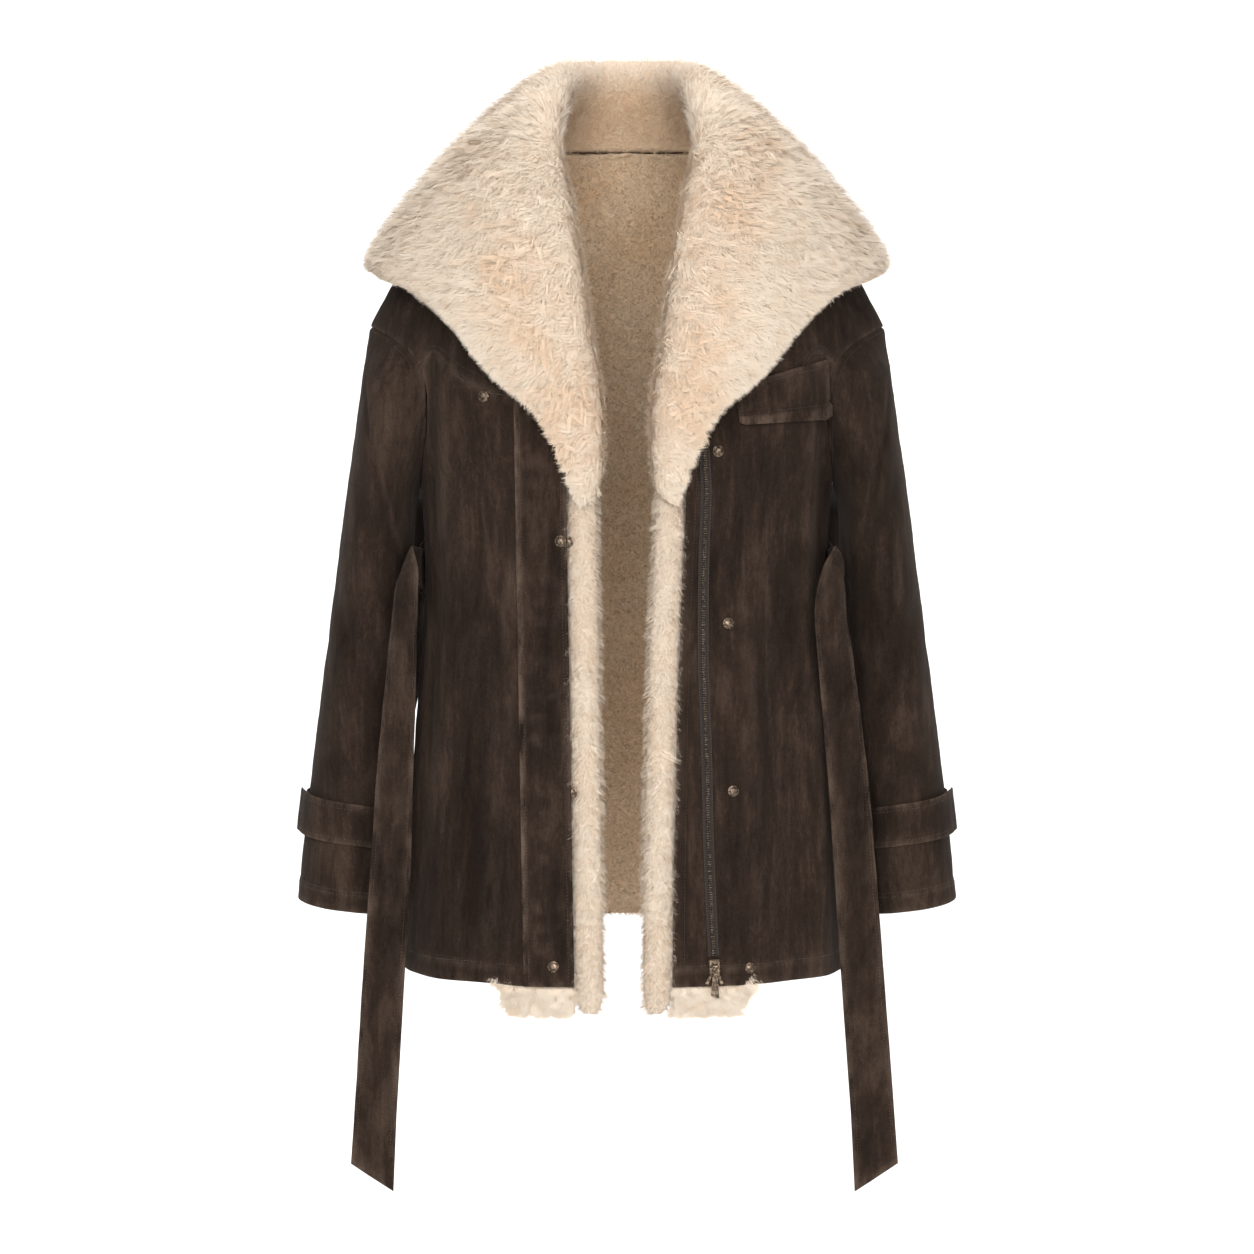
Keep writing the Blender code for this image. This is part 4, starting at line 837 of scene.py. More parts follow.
@dataclass(frozen=True)
class BodyForm:
    """Outside of the suede body: straight below the underarm, ruled to the shoulders above."""

    underarm: float = -0.320
    hem_front: float = -0.830
    hem_side: float = -0.826
    hem_back: float = -0.784
    roundness: float = 0.87
    neck_point: tuple = (0.088, 0.010, 0.030)
    neck_back: tuple = (0.0, 0.095, 0.040)
    shoulder_end: tuple = (0.268, 0.010, -0.159)
    shoulder_droop: float = 1.9
    neckline_share: float = 0.32
    yoke_at_edge: float = 0.156
    yoke_rise: float = 0.49
    yoke_curve: float = 2.5
    fold_fade: float = 0.12
    suede: float = 0.002
    lining_gap: float = 0.0009
    pile: float = 0.014
    lining_drop: float = -0.857
    lining_side: float = -0.820
    lining_back: float = -0.788
    lining_corner: float = 0.110
    lining_corner_width: float = 0.028
    # height, right and left half widths, front and back depths
    sections: tuple = (
        (-0.830, 0.2335, 0.2265, 0.140, 0.134),
        (-0.700, 0.2285, 0.2215, 0.137, 0.130),
        (-0.590, 0.2215, 0.2160, 0.134, 0.125),
        (-0.430, 0.2105, 0.2070, 0.131, 0.119),
        (-0.320, 0.2135, 0.2135, 0.135, 0.126),
    )
    # share up the armhole, x, y in front, y behind, height
    armhole: tuple = (
        (0.00, 0.2135, 0.000, 0.000, -0.320),
        (0.15, 0.2100, -0.038, 0.042, -0.300),
        (0.35, 0.2070, -0.062, 0.070, -0.257),
        (0.55, 0.2090, -0.072, 0.080, -0.217),
        (0.72, 0.2190, -0.066, 0.075, -0.194),
        (0.87, 0.2410, -0.040, 0.052, -0.175),
        (1.00, 0.2680, 0.010, 0.010, -0.159),
    )
    # side, face, turn in degrees, bottom, top, width in degrees, rise
    folds: tuple = (
        (-1, -1, 24.0, -0.95, -0.25, 7.0, 0.0040), (-1, -1, 37.0, -0.90, -0.42, 8.0, -0.0035),
        (-1, -1, 52.0, -1.00, -0.36, 9.0, 0.0045), (-1, -1, 67.0, -0.80, -0.24, 7.0, -0.0040),
        (1, -1, 30.0, -1.00, -0.40, 8.0, 0.0035), (1, -1, 45.0, -0.86, -0.30, 8.0, -0.0035),
        (1, -1, 60.0, -1.00, -0.34, 9.0, 0.0045), (1, -1, 70.0, -0.70, -0.22, 6.0, -0.0040),
        (-1, 1, 20.0, -0.95, -0.30, 9.0, 0.0045), (-1, 1, 44.0, -0.85, -0.42, 8.0, -0.0040),
        (-1, 1, 62.0, -0.98, -0.28, 9.0, 0.0050), (1, 1, 14.0, -0.80, -0.44, 7.0, -0.0035),
        (1, 1, 34.0, -0.96, -0.26, 9.0, 0.0050), (1, 1, 56.0, -0.90, -0.40, 8.0, -0.0040),
    )
    # height and distance from the middle of each front edge
    edge_right: tuple = ((-0.870, 0.052), (-0.700, 0.055), (-0.500, 0.058), (-0.320, 0.061))
    edge_left: tuple = ((-0.870, 0.045), (-0.700, 0.047), (-0.500, 0.052), (-0.320, 0.060))

    @property
    def fur_depth(self) -> float:
        """Distance from the suede's outside to the inside of the lining's fur."""
        return self.suede + self.lining_gap + self.pile

    def panel(self, side: Side, face: Face) -> "HalfPanel":
        """One half of the front or back."""
        return HalfPanel(self, side, face)


@dataclass(frozen=True)
class HalfPanel:
    """Half of the body's front or back, from a front edge or the centre back to the side."""

    form: BodyForm
    side: Side
    face: Face

    def section(self, column: int, z: Array | float) -> Array:
        """Half width or depth at a height."""
        rows = np.array(self.form.sections)
        return curve(rows[:, 0], rows[:, column], z)

    def width(self, z: Array | float) -> Array:
        """Half width on this side."""
        return self.section(2 if self.side is Side.LEFT else 1, z)

    def start_turn(self, z: Array | float) -> Array:
        """Angle of the front edge, or 0 at the centre back."""
        z = np.asarray(z, float)
        if self.face is Face.BACK:
            return np.zeros(z.shape)
        rows = np.array(self.form.edge_left if self.side is Side.LEFT else self.form.edge_right)
        share = np.minimum(np.abs(curve(rows[:, 0], rows[:, 1], z)) / self.width(z), 1.0)
        return np.arcsin(share ** (1 / self.form.roundness))

    def around(self, turn: Array, z: Array) -> Array:
        """Point on the straight part, with its soft upright folds."""
        rise = np.zeros(np.broadcast(turn, z).shape)
        fade = self.form.fold_fade
        for side, face, middle, bottom, top, width, height in self.form.folds:
            if side == self.side.value and face == self.face.value:
                off = (np.degrees(turn) - middle) / width
                rise = rise + (height * np.exp(-off * off) * smooth((z - bottom) / fade)
                               * smooth((top - z) / fade))
        wide = self.width(z) + rise
        deep = self.section(3 if self.face is Face.FRONT else 4, z) + rise
        r = self.form.roundness
        return joined(self.side.value * wide * power(np.sin(turn), r),
                      self.face.value * deep * power(np.cos(turn), r), z)

    def foot(self, across: Array, z: Array) -> Array:
        """Point on the straight part by its share across the panel."""
        return self.around(mix(self.start_turn(z), math.pi / 2, across), z)

    def hem_turn(self, across: Array) -> Array:
        """Angle round the hem."""
        return np.clip(mix(self.start_turn(self.form.hem_front), math.pi / 2, across), 0, math.pi / 2)

    def hem(self, across: Array) -> Array:
        """Height of the suede hem."""
        low = self.form.hem_front if self.face is Face.FRONT else self.form.hem_back
        return mix(low, self.form.hem_side, np.sin(self.hem_turn(across)) ** 2)

    def lining_start(self, across: Array) -> Array:
        """Where the lining's hem lies on the suede's scale of heights: below 0 it hangs lower."""
        turn, form = self.hem_turn(across), self.form
        if self.face is Face.BACK:
            low = mix(form.lining_back, form.lining_side, np.sin(turn) ** 2)
        else:
            x = form.sections[0][2] * power(np.sin(turn), form.roundness)
            low = mix(form.lining_drop, form.lining_side,
                      smooth((x - form.lining_corner) / form.lining_corner_width))
        hem = self.hem(across)
        return (low - hem) / (form.underarm - hem)

    def ridge(self, share: Array) -> Array:
        """Top edge: the back's neckline, then the shoulder seam."""
        form = self.form
        neck = form.neckline_share if self.face is Face.BACK else 0.0
        point, back, end = form.neck_point, form.neck_back, form.shoulder_end
        along = (share - neck) / (1 - neck)
        shoulder = joined(mix(point[0], end[0], along), point[1] + 0 * along,
                          mix(point[2], end[2], power(along, form.shoulder_droop)))
        if not neck:
            return shoulder
        turn = share / neck * math.pi / 2
        line = joined(point[0] * np.sin(turn), mix(point[1], back[1], np.cos(turn)),
                      mix(point[2], back[2], np.cos(turn)))
        return np.where((share < neck)[..., None], line, shoulder)

    def arm(self, share: Array) -> Array:
        """Point of the armhole seam, read as one closed loop."""
        rows = np.array(self.form.armhole)
        near, far = (2, 3) if self.face is Face.FRONT else (3, 2)
        first, last = rows[1], rows[-2]
        knots = np.concatenate([[-first[0]], rows[:, 0], [2.0 - last[0]]])
        own, beyond = [1, near, 4], [1, far, 4]
        values = np.concatenate([[first[beyond]], rows[:, own], [last[beyond]]])
        return curve(knots, values, share)

    def surface(self, across: Array, up: Array) -> Array:
        """Point of the panel: up is 0 at the hem, 1 at the underarm and 2 on top."""
        across, up = np.broadcast_arrays(np.asarray(across, float), np.asarray(up, float))
        low_up = np.minimum(up, 1.0)
        low = self.foot(across, mix(self.hem(across), self.form.underarm, low_up))
        share = np.clip(up - 1.0, 0.0, 1.05)
        shares = joined(smooth(share), 1 - np.cos(share * math.pi / 2),
                        np.sin(share * math.pi / 2))
        flip = np.array([self.side.value, 1.0, 1.0])
        under = np.full(across.shape, self.form.underarm)
        bottom, top = self.foot(across, under), self.ridge(across) * flip
        one = np.ones(across.shape)
        side_low, side_top = self.foot(one, under), self.ridge(one) * flip
        high = mix(bottom, top, shares) + (self.arm(share) * flip
                                           - mix(side_low, side_top, shares)) * across[..., None]
        return np.where((up <= 1.0)[..., None], low, high)

    def normal(self, across: Array, up: Array) -> Array:
        """Outward direction of the cloth."""
        step = 0.002
        up = np.where(np.abs(up - 1.0) > step, up, 1.0 - 2 * step)
        run = self.surface(across + step, up) - self.surface(across - step, up)
        rise = self.surface(across, up + step) - self.surface(across, up - step)
        return unit(np.cross(run, rise)) * -self.side.value * self.face.value

    def lifted(self, across: Array, up: Array, lift: Array | float) -> Array:
        """Point off the cloth by a distance."""
        lift = np.asarray(lift, float)
        return self.surface(across, up) + self.normal(across, up) * lift[..., None]

    def place(self, x: Array, z: Array) -> tuple[Array, Array]:
        """Across and up of the points at distances from the middle and heights."""
        x, z = np.broadcast_arrays(np.asarray(x, float), np.asarray(z, float))
        form, step = self.form, 0.001
        across = np.minimum(x / self.width(z), 0.9)
        up = np.where(z < form.underarm, (z - form.hem_front) / (form.underarm - form.hem_front), 1.0)
        for _ in range(20):
            across, up = np.clip(across, -0.2, 0.999), np.clip(up, -0.1, 1.95)
            here = self.surface(across, up)
            run = (self.surface(across + step, up) - here) / step
            rise = (self.surface(across, up + step) - here) / step
            miss_x, miss_z = self.side.value * x - here[..., 0], z - here[..., 2]
            area = run[..., 0] * rise[..., 2] - run[..., 2] * rise[..., 0]
            across = across + (miss_x * rise[..., 2] - miss_z * rise[..., 0]) / area
            up = up + (run[..., 0] * miss_z - run[..., 2] * miss_x) / area
        return across, up

    def yoke_seam(self, across: Array) -> Array:
        """Height share of the yoke seam."""
        form = self.form
        return 1.0 + form.yoke_at_edge + form.yoke_rise * np.maximum(across, 0.0) ** form.yoke_curve


# ------------------------------------------------------------------ creases


@dataclass(frozen=True)
class Crease:
    """A soft trough or ridge along a line seen from the front or the back."""

    start: tuple
    end: tuple
    width: float
    rise: float

    def lift(self, points: Array) -> Array:
        """How far it moves the cloth at each point."""
        a, b = np.array(self.start), np.array(self.end)
        way = b - a
        seen = points[..., [0, 2]] - a
        t = (seen @ way) / (way @ way)
        off = np.abs(seen[..., 0] * way[1] - seen[..., 1] * way[0]) / np.linalg.norm(way)
        fade = smooth((t + 0.1) / 0.35) * smooth((1.1 - t) / 0.35)
        return self.rise * np.exp(-(off / self.width) ** 2) * fade


def creased(points: Array, normals: Array, creases: Sequence[Crease], faces: int) -> tuple[Array, Array]:
    """Lay creases on a grid of cloth.

    Args:
        points: the grid.
        normals: its directions outward.
        creases: the creases.
        faces: sign of Y of the side that they are on.

    Returns:
        The moved points, and how much each rose.
    """
    rise = np.zeros(points.shape[:-1])
    for crease in creases:
        rise += crease.lift(points)
    rise *= smooth((points[..., 1] * faces + 0.01) / 0.03)
    return points + normals * rise[..., None], rise


# ------------------------------------------------------------------ the suede body


@dataclass
class SuedeBody:
    """Fronts, yokes and back of dark suede, sewn together over the lining."""

    form: BodyForm
    wardrobe: Wardrobe
    sewing: Sewing
    columns: int = 46
    rows: int = 84
    arm_rows: int = 22
    hem_band: float = 0.021
    hem_rise: float = 0.0006
    flats: dict = field(default_factory=lambda: {
        "front": (0.22, 0.60), "yoke": (0.24, 0.20), "back": (0.66, 0.86)})
    front_creases: tuple = (
        Crease((-0.098, -0.40), (-0.108, -0.80), 0.006, -0.0016),
        Crease((-0.118, -0.36), (-0.122, -0.62), 0.008, 0.0018),
        Crease((-0.150, -0.28), (-0.158, -0.50), 0.010, -0.0018),
        Crease((-0.206, -0.16), (-0.199, -0.36), 0.007, -0.0030),
        Crease((-0.190, -0.19), (-0.186, -0.40), 0.008, 0.0022),
        Crease((-0.180, -0.55), (-0.196, -0.80), 0.009, -0.0018),
        Crease((-0.135, -0.60), (-0.140, -0.82), 0.009, 0.0014),
        Crease((0.205, -0.17), (0.198, -0.42), 0.007, -0.0030),
        Crease((0.190, -0.26), (0.184, -0.46), 0.008, 0.0022),
        Crease((0.150, -0.30), (0.146, -0.56), 0.010, -0.0016),
        Crease((0.122, -0.44), (0.128, -0.74), 0.009, 0.0016),
        Crease((0.165, -0.52), (0.178, -0.80), 0.009, -0.0018),
        Crease((0.195, -0.50), (0.206, -0.76), 0.008, 0.0016),
    )
    back_creases: tuple = (
        Crease((-0.195, -0.18), (-0.185, -0.38), 0.009, -0.0028),
        Crease((0.195, -0.18), (0.187, -0.36), 0.009, -0.0028),
        Crease((-0.120, -0.34), (-0.110, -0.52), 0.010, -0.0020),
        Crease((0.105, -0.33), (0.098, -0.50), 0.010, -0.0020),
        Crease((0.02, -0.44), (0.03, -0.74), 0.012, 0.0018),
        Crease((-0.15, -0.46), (-0.17, -0.76), 0.010, 0.0018),
        Crease((0.15, -0.45), (0.16, -0.70), 0.010, -0.0018),
    )

    def finish_panel(self, name: str, points: Array, normals: Array, creases: Sequence[Crease],
                     sign: int, hem: Array | None, flip: bool) -> None:
        """Crease, hem and show one panel.

        Args:
            name: its node.
            points: its outer grid.
            normals: directions outward.
            creases: its creases.
            sign: sign of Y of its side.
            hem: height above the hem at each point, or None.
            flip: whether its grid runs the other way round.
        """
        points, rise = creased(points, normals, creases, sign)
        puckers = ripple(points, 0.030, len(name)) * 0.0004
        # paler suede: wear at the borders, and a painted highlight on crease ridges in proportion to their
        # rise
        wear = np.exp(-border_distance(points) / 0.0035) * 0.8 + np.clip(rise * 150, 0, 0.5)
        if hem is not None:
            band = smooth((self.hem_band - hem) / 0.002) * self.hem_rise
            groove = -0.0006 * np.exp(-((hem - self.hem_band) / 0.0022) ** 2)
            puckers = puckers + band + groove
            # painted highlight along the upper shoulder of the raised hem band
            wear = wear + 0.4 * np.exp(-((hem - self.hem_band + 0.003) / 0.004) ** 2)
        points = points + normals * puckers[..., None]
        cloth = Cloth(name, points, normals, self.form.suede, wear=wear)
        piece = show(f"{name}_suede", cloth.mesh(flip), [self.wardrobe.suede], [name])

    def front(self, side: Side) -> None:
        """One front from its hem to the yoke seam, and the yoke above it."""
        panel = self.form.panel(side, Face.FRONT)
        across = edged(self.columns, 0.015)[None]
        ups = edged(self.rows, 0.006)[:, None] * np.ones_like(across)
        seam = panel.yoke_seam(across)
        total = 1.0 + (seam - 1.0)
        low = np.minimum(ups * total, seam)
        inset = mix(0.0008, 0.9992, across)
        points, normals = panel.surface(inset, low), panel.normal(inset, low)
        hem = points[..., 2] - panel.hem(inset)
        creases = [c for c in self.front_creases if c.start[0] * side.value > 0]
        flip = side is Side.RIGHT
        self.finish_panel(f"front_{side.word}", points, normals, creases, -1, hem,
                          flip)
        high = mix(seam, 2.0, mix(0.002, 0.998, edged(self.arm_rows, 0.03)[:, None]))
        points, normals = panel.surface(inset, high), panel.normal(inset, high)
        self.finish_panel(f"yoke_{side.word}", points, normals, creases, -1, None,
                          flip)
        rows = np.linspace(0.02, 0.98, 200)
        for above in (0.014, 0.032):
            line = panel.yoke_seam(rows) + above
            self.sewing.row(panel.lifted(rows, line, 0.0002), panel.normal(rows, line))
        hem_up = self.hem_band / (self.form.underarm - self.form.hem_front) * np.ones(rows.shape)
        self.sewing.row(panel.lifted(rows, hem_up, 0.0003), panel.normal(rows, hem_up))
        if side is Side.LEFT:
            tall = np.linspace(0.02, 1.1, 300)
            near = 0.035 * np.ones(tall.shape)
            self.sewing.row(panel.lifted(near, tall, 0.0002), panel.normal(near, tall))

    def back(self) -> None:
        """The back, in one piece from side seam to side seam."""
        half = np.concatenate([np.linspace(0, self.form.neckline_share, 12)[:-1],
                               np.linspace(self.form.neckline_share, 1.0, self.columns - 10)])
        ups = np.concatenate([edged(self.rows, 0.006) * 1.0, 1 + np.linspace(0, 1, 30)[1:]])
        ups = np.minimum(ups, 1.998)[:, None]
        grids, directions = [], []
        for side in (Side.RIGHT, Side.LEFT):
            panel = self.form.panel(side, Face.BACK)
            line = (half[::-1] if side is Side.RIGHT else half[1:])[None] * 0.9992
            grids.append(panel.surface(line, ups * np.ones_like(line)))
            directions.append(panel.normal(line, ups * np.ones_like(line)))
        points, normals = np.concatenate(grids, axis=1), np.concatenate(directions, axis=1)
        low = points[0, :, 2][None]
        hem = points[..., 2] - low
        self.finish_panel("back", points, normals, self.back_creases, 1, hem,
                          True)
        for side in Side:
            panel = self.form.panel(side, Face.BACK)
            rows = np.linspace(0.0, 0.98, 260)
            up = self.hem_band / (self.form.underarm - self.form.hem_back) * np.ones(rows.shape)
            self.sewing.row(panel.lifted(rows, up, 0.0003), panel.normal(rows, up))
            tall = np.linspace(0.02, 1.95, 400)
            near = 0.978 * np.ones(tall.shape)
            self.sewing.row(panel.lifted(near, tall, 0.0002), panel.normal(near, tall))

    def build(self) -> None:
        """Both fronts and the back."""
        for side in Side:
            self.front(side)
        self.back()


# ------------------------------------------------------------------ sleeves and cuffs


@dataclass
class Sleeve:
    """A tube from the armhole to the cuff, with its strap."""

    form: BodyForm
    wardrobe: Wardrobe
    sewing: Sewing
    side: Side
    seam: float = 0.0003
    thick: float = 0.002
    roundness: float = 0.9
    tuck: float = 0.020
    tuck_start: float = 0.78
    tuck_end: float = 6.5
    tuck_fade: float = 2.0
    bulge: float = 0.006
    ease: float = 0.35
    columns: int = 80
    stages: int = 96
    flat: tuple = (0.50, 0.68)
    strap_top: float = -0.652
    strap_width: float = 0.043
    strap_thick: float = 0.0025
    strap_gap: float = 0.0006
    strap_start: float = 32.0
    strap_turn: float = 400.0
    strap_flare: float = 0.0045
    # heights of the outer and inner sides, then the outer, inner, front and back places
    rings: tuple = (
        (-0.200, -0.338, 0.2735, 0.2190, -0.078, 0.088),
        (-0.262, -0.368, 0.2820, 0.2210, -0.081, 0.093),
        (-0.340, -0.410, 0.2935, 0.2225, -0.077, 0.094),
        (-0.430, -0.475, 0.3055, 0.2265, -0.070, 0.092),
        (-0.520, -0.550, 0.3175, 0.2310, -0.062, 0.088),
        (-0.610, -0.630, 0.3290, 0.2380, -0.056, 0.083),
        (-0.690, -0.706, 0.3385, 0.2450, -0.051, 0.077),
        (-0.757, -0.772, 0.3455, 0.2510, -0.047, 0.072),
    )
    # turn, place along, slant, width, reach in degrees, rise
    creases: tuple = (
        (95.0, 3.05, 0.55, 0.26, 50.0, -0.0040), (120.0, 3.85, -0.45, 0.24, 46.0, -0.0042),
        (70.0, 4.55, 0.50, 0.26, 40.0, -0.0036), (250.0, 3.40, -0.50, 0.26, 52.0, -0.0042),
        (285.0, 4.30, 0.45, 0.24, 44.0, -0.0040), (235.0, 2.30, 0.60, 0.26, 44.0, -0.0036),
    )
    fine_creases: tuple = (
        (60.0, 1.60, 0.9, 0.16, 40.0, -0.0020), (110.0, 2.30, 0.8, 0.16, 36.0, 0.0018),
        (100.0, 5.30, 0.40, 0.18, 44.0, -0.0020), (75.0, 5.95, -0.35, 0.16, 40.0, -0.0018),
        (150.0, 3.30, 0.5, 0.16, 30.0, -0.0020), (140.0, 4.20, -0.5, 0.15, 34.0, 0.0016),
        (80.0, 6.60, 0.2, 0.12, 44.0, -0.0014), (270.0, 5.10, -0.4, 0.18, 44.0, -0.0020),
        (220.0, 6.00, 0.4, 0.16, 40.0, -0.0018), (300.0, 2.80, -0.7, 0.18, 36.0, 0.0018),
        (20.0, 4.80, 0.5, 0.16, 36.0, -0.0014), (340.0, 3.60, -0.5, 0.18, 36.0, -0.0014),
    )

    def rise(self, turn: Array, along: Array, rows: Sequence[tuple]) -> Array:
        """How far creases push the cloth."""
        total = np.zeros(np.broadcast(turn, along).shape)
        for middle, place, slant, width, reach, height in rows:
            off = (turn - middle) / reach
            across = (along - place - slant * off) / width
            total = total + height * np.exp(-across * across - off * off)
        return total

    def point(self, turn: Array, along: Array, fine: bool = True) -> Array:
        """Point on the sleeve: turn goes from the outer side to the front, along counts rings."""
        turn, along = np.broadcast_arrays(np.asarray(turn, float), np.asarray(along, float))
        turn = turn % 360
        wave = np.radians(turn)
        out, fore = np.cos(wave), np.abs(np.sin(wave))
        knots = np.arange(1, len(self.rings) + 1)
        ring = curve(knots, np.array(self.rings), np.maximum(along, 1.0))
        z_out, z_in, outer, inner, front, back = (ring[..., k] for k in range(6))
        rise = self.rise(turn, along, self.creases)
        if fine:
            rise = rise + self.rise(turn, along, self.fine_creases)
        tuck = self.tuck * smooth(along - self.tuck_start) * smooth((self.tuck_end - along) / self.tuck_fade)
        tuck = tuck * 2 * np.maximum(-out, 0.0) * np.maximum(-np.sin(wave), 0.0)
        tube = joined((outer + inner) / 2 + ((outer - inner) / 2 + rise) * power(out, self.roundness)
                      - tuck,
                      (front + back) / 2 - ((back - front) / 2 + rise) * np.sin(wave),
                      mix(z_in, z_out, (1 + out) / 2))
        share = np.where(turn <= 180, turn / 180, (360 - turn) / 180)
        fronts = self.form.panel(self.side, Face.FRONT).arm(1 - share)
        backs = self.form.panel(self.side, Face.BACK).arm(1 - share)
        seam = np.where((turn <= 180)[..., None], fronts, backs)
        reach = mix(along, smooth(along), self.ease)
        bulge = self.bulge * np.sin(math.pi * np.minimum(along, 1.0)) * fore
        sign = np.where(np.sin(wave) > 0, -1.0, 1.0)
        head = mix(seam, tube, reach[..., None]) + joined(bulge * 0.5, bulge * sign, 0 * bulge)
        found = np.where((along < 1.0)[..., None], head, tube)
        return found * np.array([self.side.value, 1.0, 1.0])

    def normal(self, turn: Array, along: Array) -> Array:
        """Outward direction of the sleeve's cloth."""
        along = np.clip(along, 0.06, len(self.rings) - 0.06)
        wide = self.point(turn + 2, along) - self.point(turn - 2, along)
        down = self.point(turn, along + 0.05) - self.point(turn, along - 0.05)
        return unit(np.cross(wide, down)) * self.side.value

    def along_at(self, z: float) -> float:
        """Ring count where the sleeve's middle is at a height."""
        rings = np.array(self.rings)
        places = np.linspace(1, len(rings), 400)
        heights = curve(np.arange(1, len(rings) + 1), (rings[:, 0] + rings[:, 1]) / 2, places)
        return float(np.interp(-z, -heights, places))

    def tube(self) -> None:
        """The sleeve itself."""
        turns = np.linspace(0, 360, self.columns + 1)[:-1][None]
        last = float(len(self.rings))
        along = np.concatenate([[0.0, 0.012, 0.03], np.linspace(0.08, last - 0.03, self.stages),
                                [last - 0.012, last]])[:, None]
        points = self.point(turns, along)
        normals = grid_normals(points, True, self.side is Side.RIGHT)
        if (normals[40, 0] @ np.array([self.side.value, 0, 0])) < 0:
            normals = -normals
        head_tuck = 1 - smooth(along / 0.05)
        points = points - joined(head_tuck * self.side.value * 0.0035, 0 * head_tuck,
                                 0 * head_tuck) - normals * (head_tuck * 0.0012)[..., None]
        hem = (last - along) * 0.072
        band = smooth((0.024 - hem) / 0.002) * 0.0005
        groove = -0.0006 * np.exp(-((hem - 0.024) / 0.0022) ** 2)
        back_seam = -0.0009 * np.exp(-((turns - 262) / 1.8) ** 2) * smooth(along / 0.3)
        head = -0.0007 * np.exp(-((along - 0.06) / 0.05) ** 2)
        lift = band + groove + back_seam + head + ripple(points, 0.028, 3.0) * 0.0004
        points = points + normals * lift[..., None]
        fine = self.rise(turns, along, self.fine_creases) + self.rise(turns, along, self.creases)
        # paler suede: wear at the borders, a painted highlight along the raised hem band, and painted light
        # on the creases, paler on ridges and darker in troughs
        wear = (np.exp(-border_distance(points, True) / 0.0035) * 0.8
                + 0.35 * np.exp(-((hem - 0.021) / 0.004) ** 2)
                + np.clip(fine * 110 + 0.12, 0, 0.4) * smooth(along))
        name = f"sleeve_{self.side.word}"
        cloth = Cloth(name, points, normals, self.thick, closed=True, wear=wear)
        piece = show(f"{name}_suede", cloth.mesh(self.side is Side.LEFT), [self.wardrobe.suede],
                     [name])
        ring = np.linspace(0, 360, 200)
        for place in (last - 0.024 / 0.072, last - 0.019 / 0.072):
            level = np.full(ring.shape, place)
            self.sewing.row(self.point(ring, level) + self.normal(ring, level) * 0.0004,
                            self.normal(ring, level))
        level = np.full(ring.shape, 0.13)
        self.sewing.row(self.point(ring, level), self.normal(ring, level))
        down = np.linspace(0.3, last - 0.1, 300)
        seam = np.full(down.shape, 266.0)
        self.sewing.row(self.point(seam, down), self.normal(seam, down))

    def strap(self) -> None:
        """The cuff strap, whose buttoned end lies on its start and stands a little proud."""
        gone = np.linspace(0, self.strap_turn, 150)[None]
        share = edged(12, 0.06)[:, None]
        top = self.along_at(self.strap_top)
        low = self.along_at(self.strap_top - self.strap_width)
        level = mix(top, low, share)
        turn = self.strap_start - gone
        normals = self.normal(turn, level)
        climb = smooth((gone - 290) / 60) * (self.strap_thick + self.strap_gap)
        flare = np.maximum(gone - 378, 0.0) / (self.strap_turn - 378) * self.strap_flare
        lift = self.strap_gap + climb + flare + self.strap_thick + 0 * share
        points = self.point(turn, level, False) + normals * lift[..., None]
        edge = border_distance(points)
        groove = -0.0004 * np.exp(-((edge - 0.0045) / 0.0012) ** 2)
        points = points + normals * (groove + ripple(points, 0.02, 7.0) * 0.0002)[..., None]
        name = f"cuff_strap_{self.side.word}"
        cloth = Cloth(name, points, normals, self.strap_thick, roll=0.002,
                      wear=np.exp(-edge / 0.004) * 0.9)
        piece = show(f"{name}_suede", cloth.mesh(self.side is Side.RIGHT), [self.wardrobe.suede],
                     [name])
        rows, columns = points.shape[:2]
        for at in (0.0045 / self.strap_width, 1 - 0.0045 / self.strap_width):
            row = int(np.argmin(np.abs(share[:, 0] - at)))
            self.sewing.row(points[row], normals[row], 0.0001)
        end = np.argmin(np.abs(gone[0] - (self.strap_turn - 5)))
        self.sewing.row(points[3:-3, end], normals[3:-3, end], 0.0001)
        self.buttonhole(points, normals, gone[0])

    def buttonhole(self, points: Array, normals: Array, gone: Array) -> None:
        """Stitched eyelet near the strap's standing end."""
        rows = points.shape[0]
        middle = int(np.argmin(np.abs(gone - (self.strap_turn - 12))))
        centre, out = points[rows // 2, middle], normals[rows // 2, middle]
        tall = unit(points[0, middle] - points[-1, middle])
        wide = unit(np.cross(tall, out))
        angle = np.linspace(0, 2 * math.pi, 30)[:-1]
        shape = 1 + 0.35 * np.cos(angle)
        ring = (centre + tall * (np.cos(angle) * 0.008)[:, None]
                + wide * (np.sin(angle) * 0.0019 * shape)[:, None])
        spokes = tall * (np.cos(angle) * 0.5)[:, None] + wide * np.sin(angle)[:, None]
        self.sewing.stitches(ring + out * 0.0003, unit(spokes),
                             np.broadcast_to(out, ring.shape))

    def build(self) -> None:
        """Sleeve and strap."""
        self.tube()
        self.strap()


# ------------------------------------------------------------------ pieces on the fronts


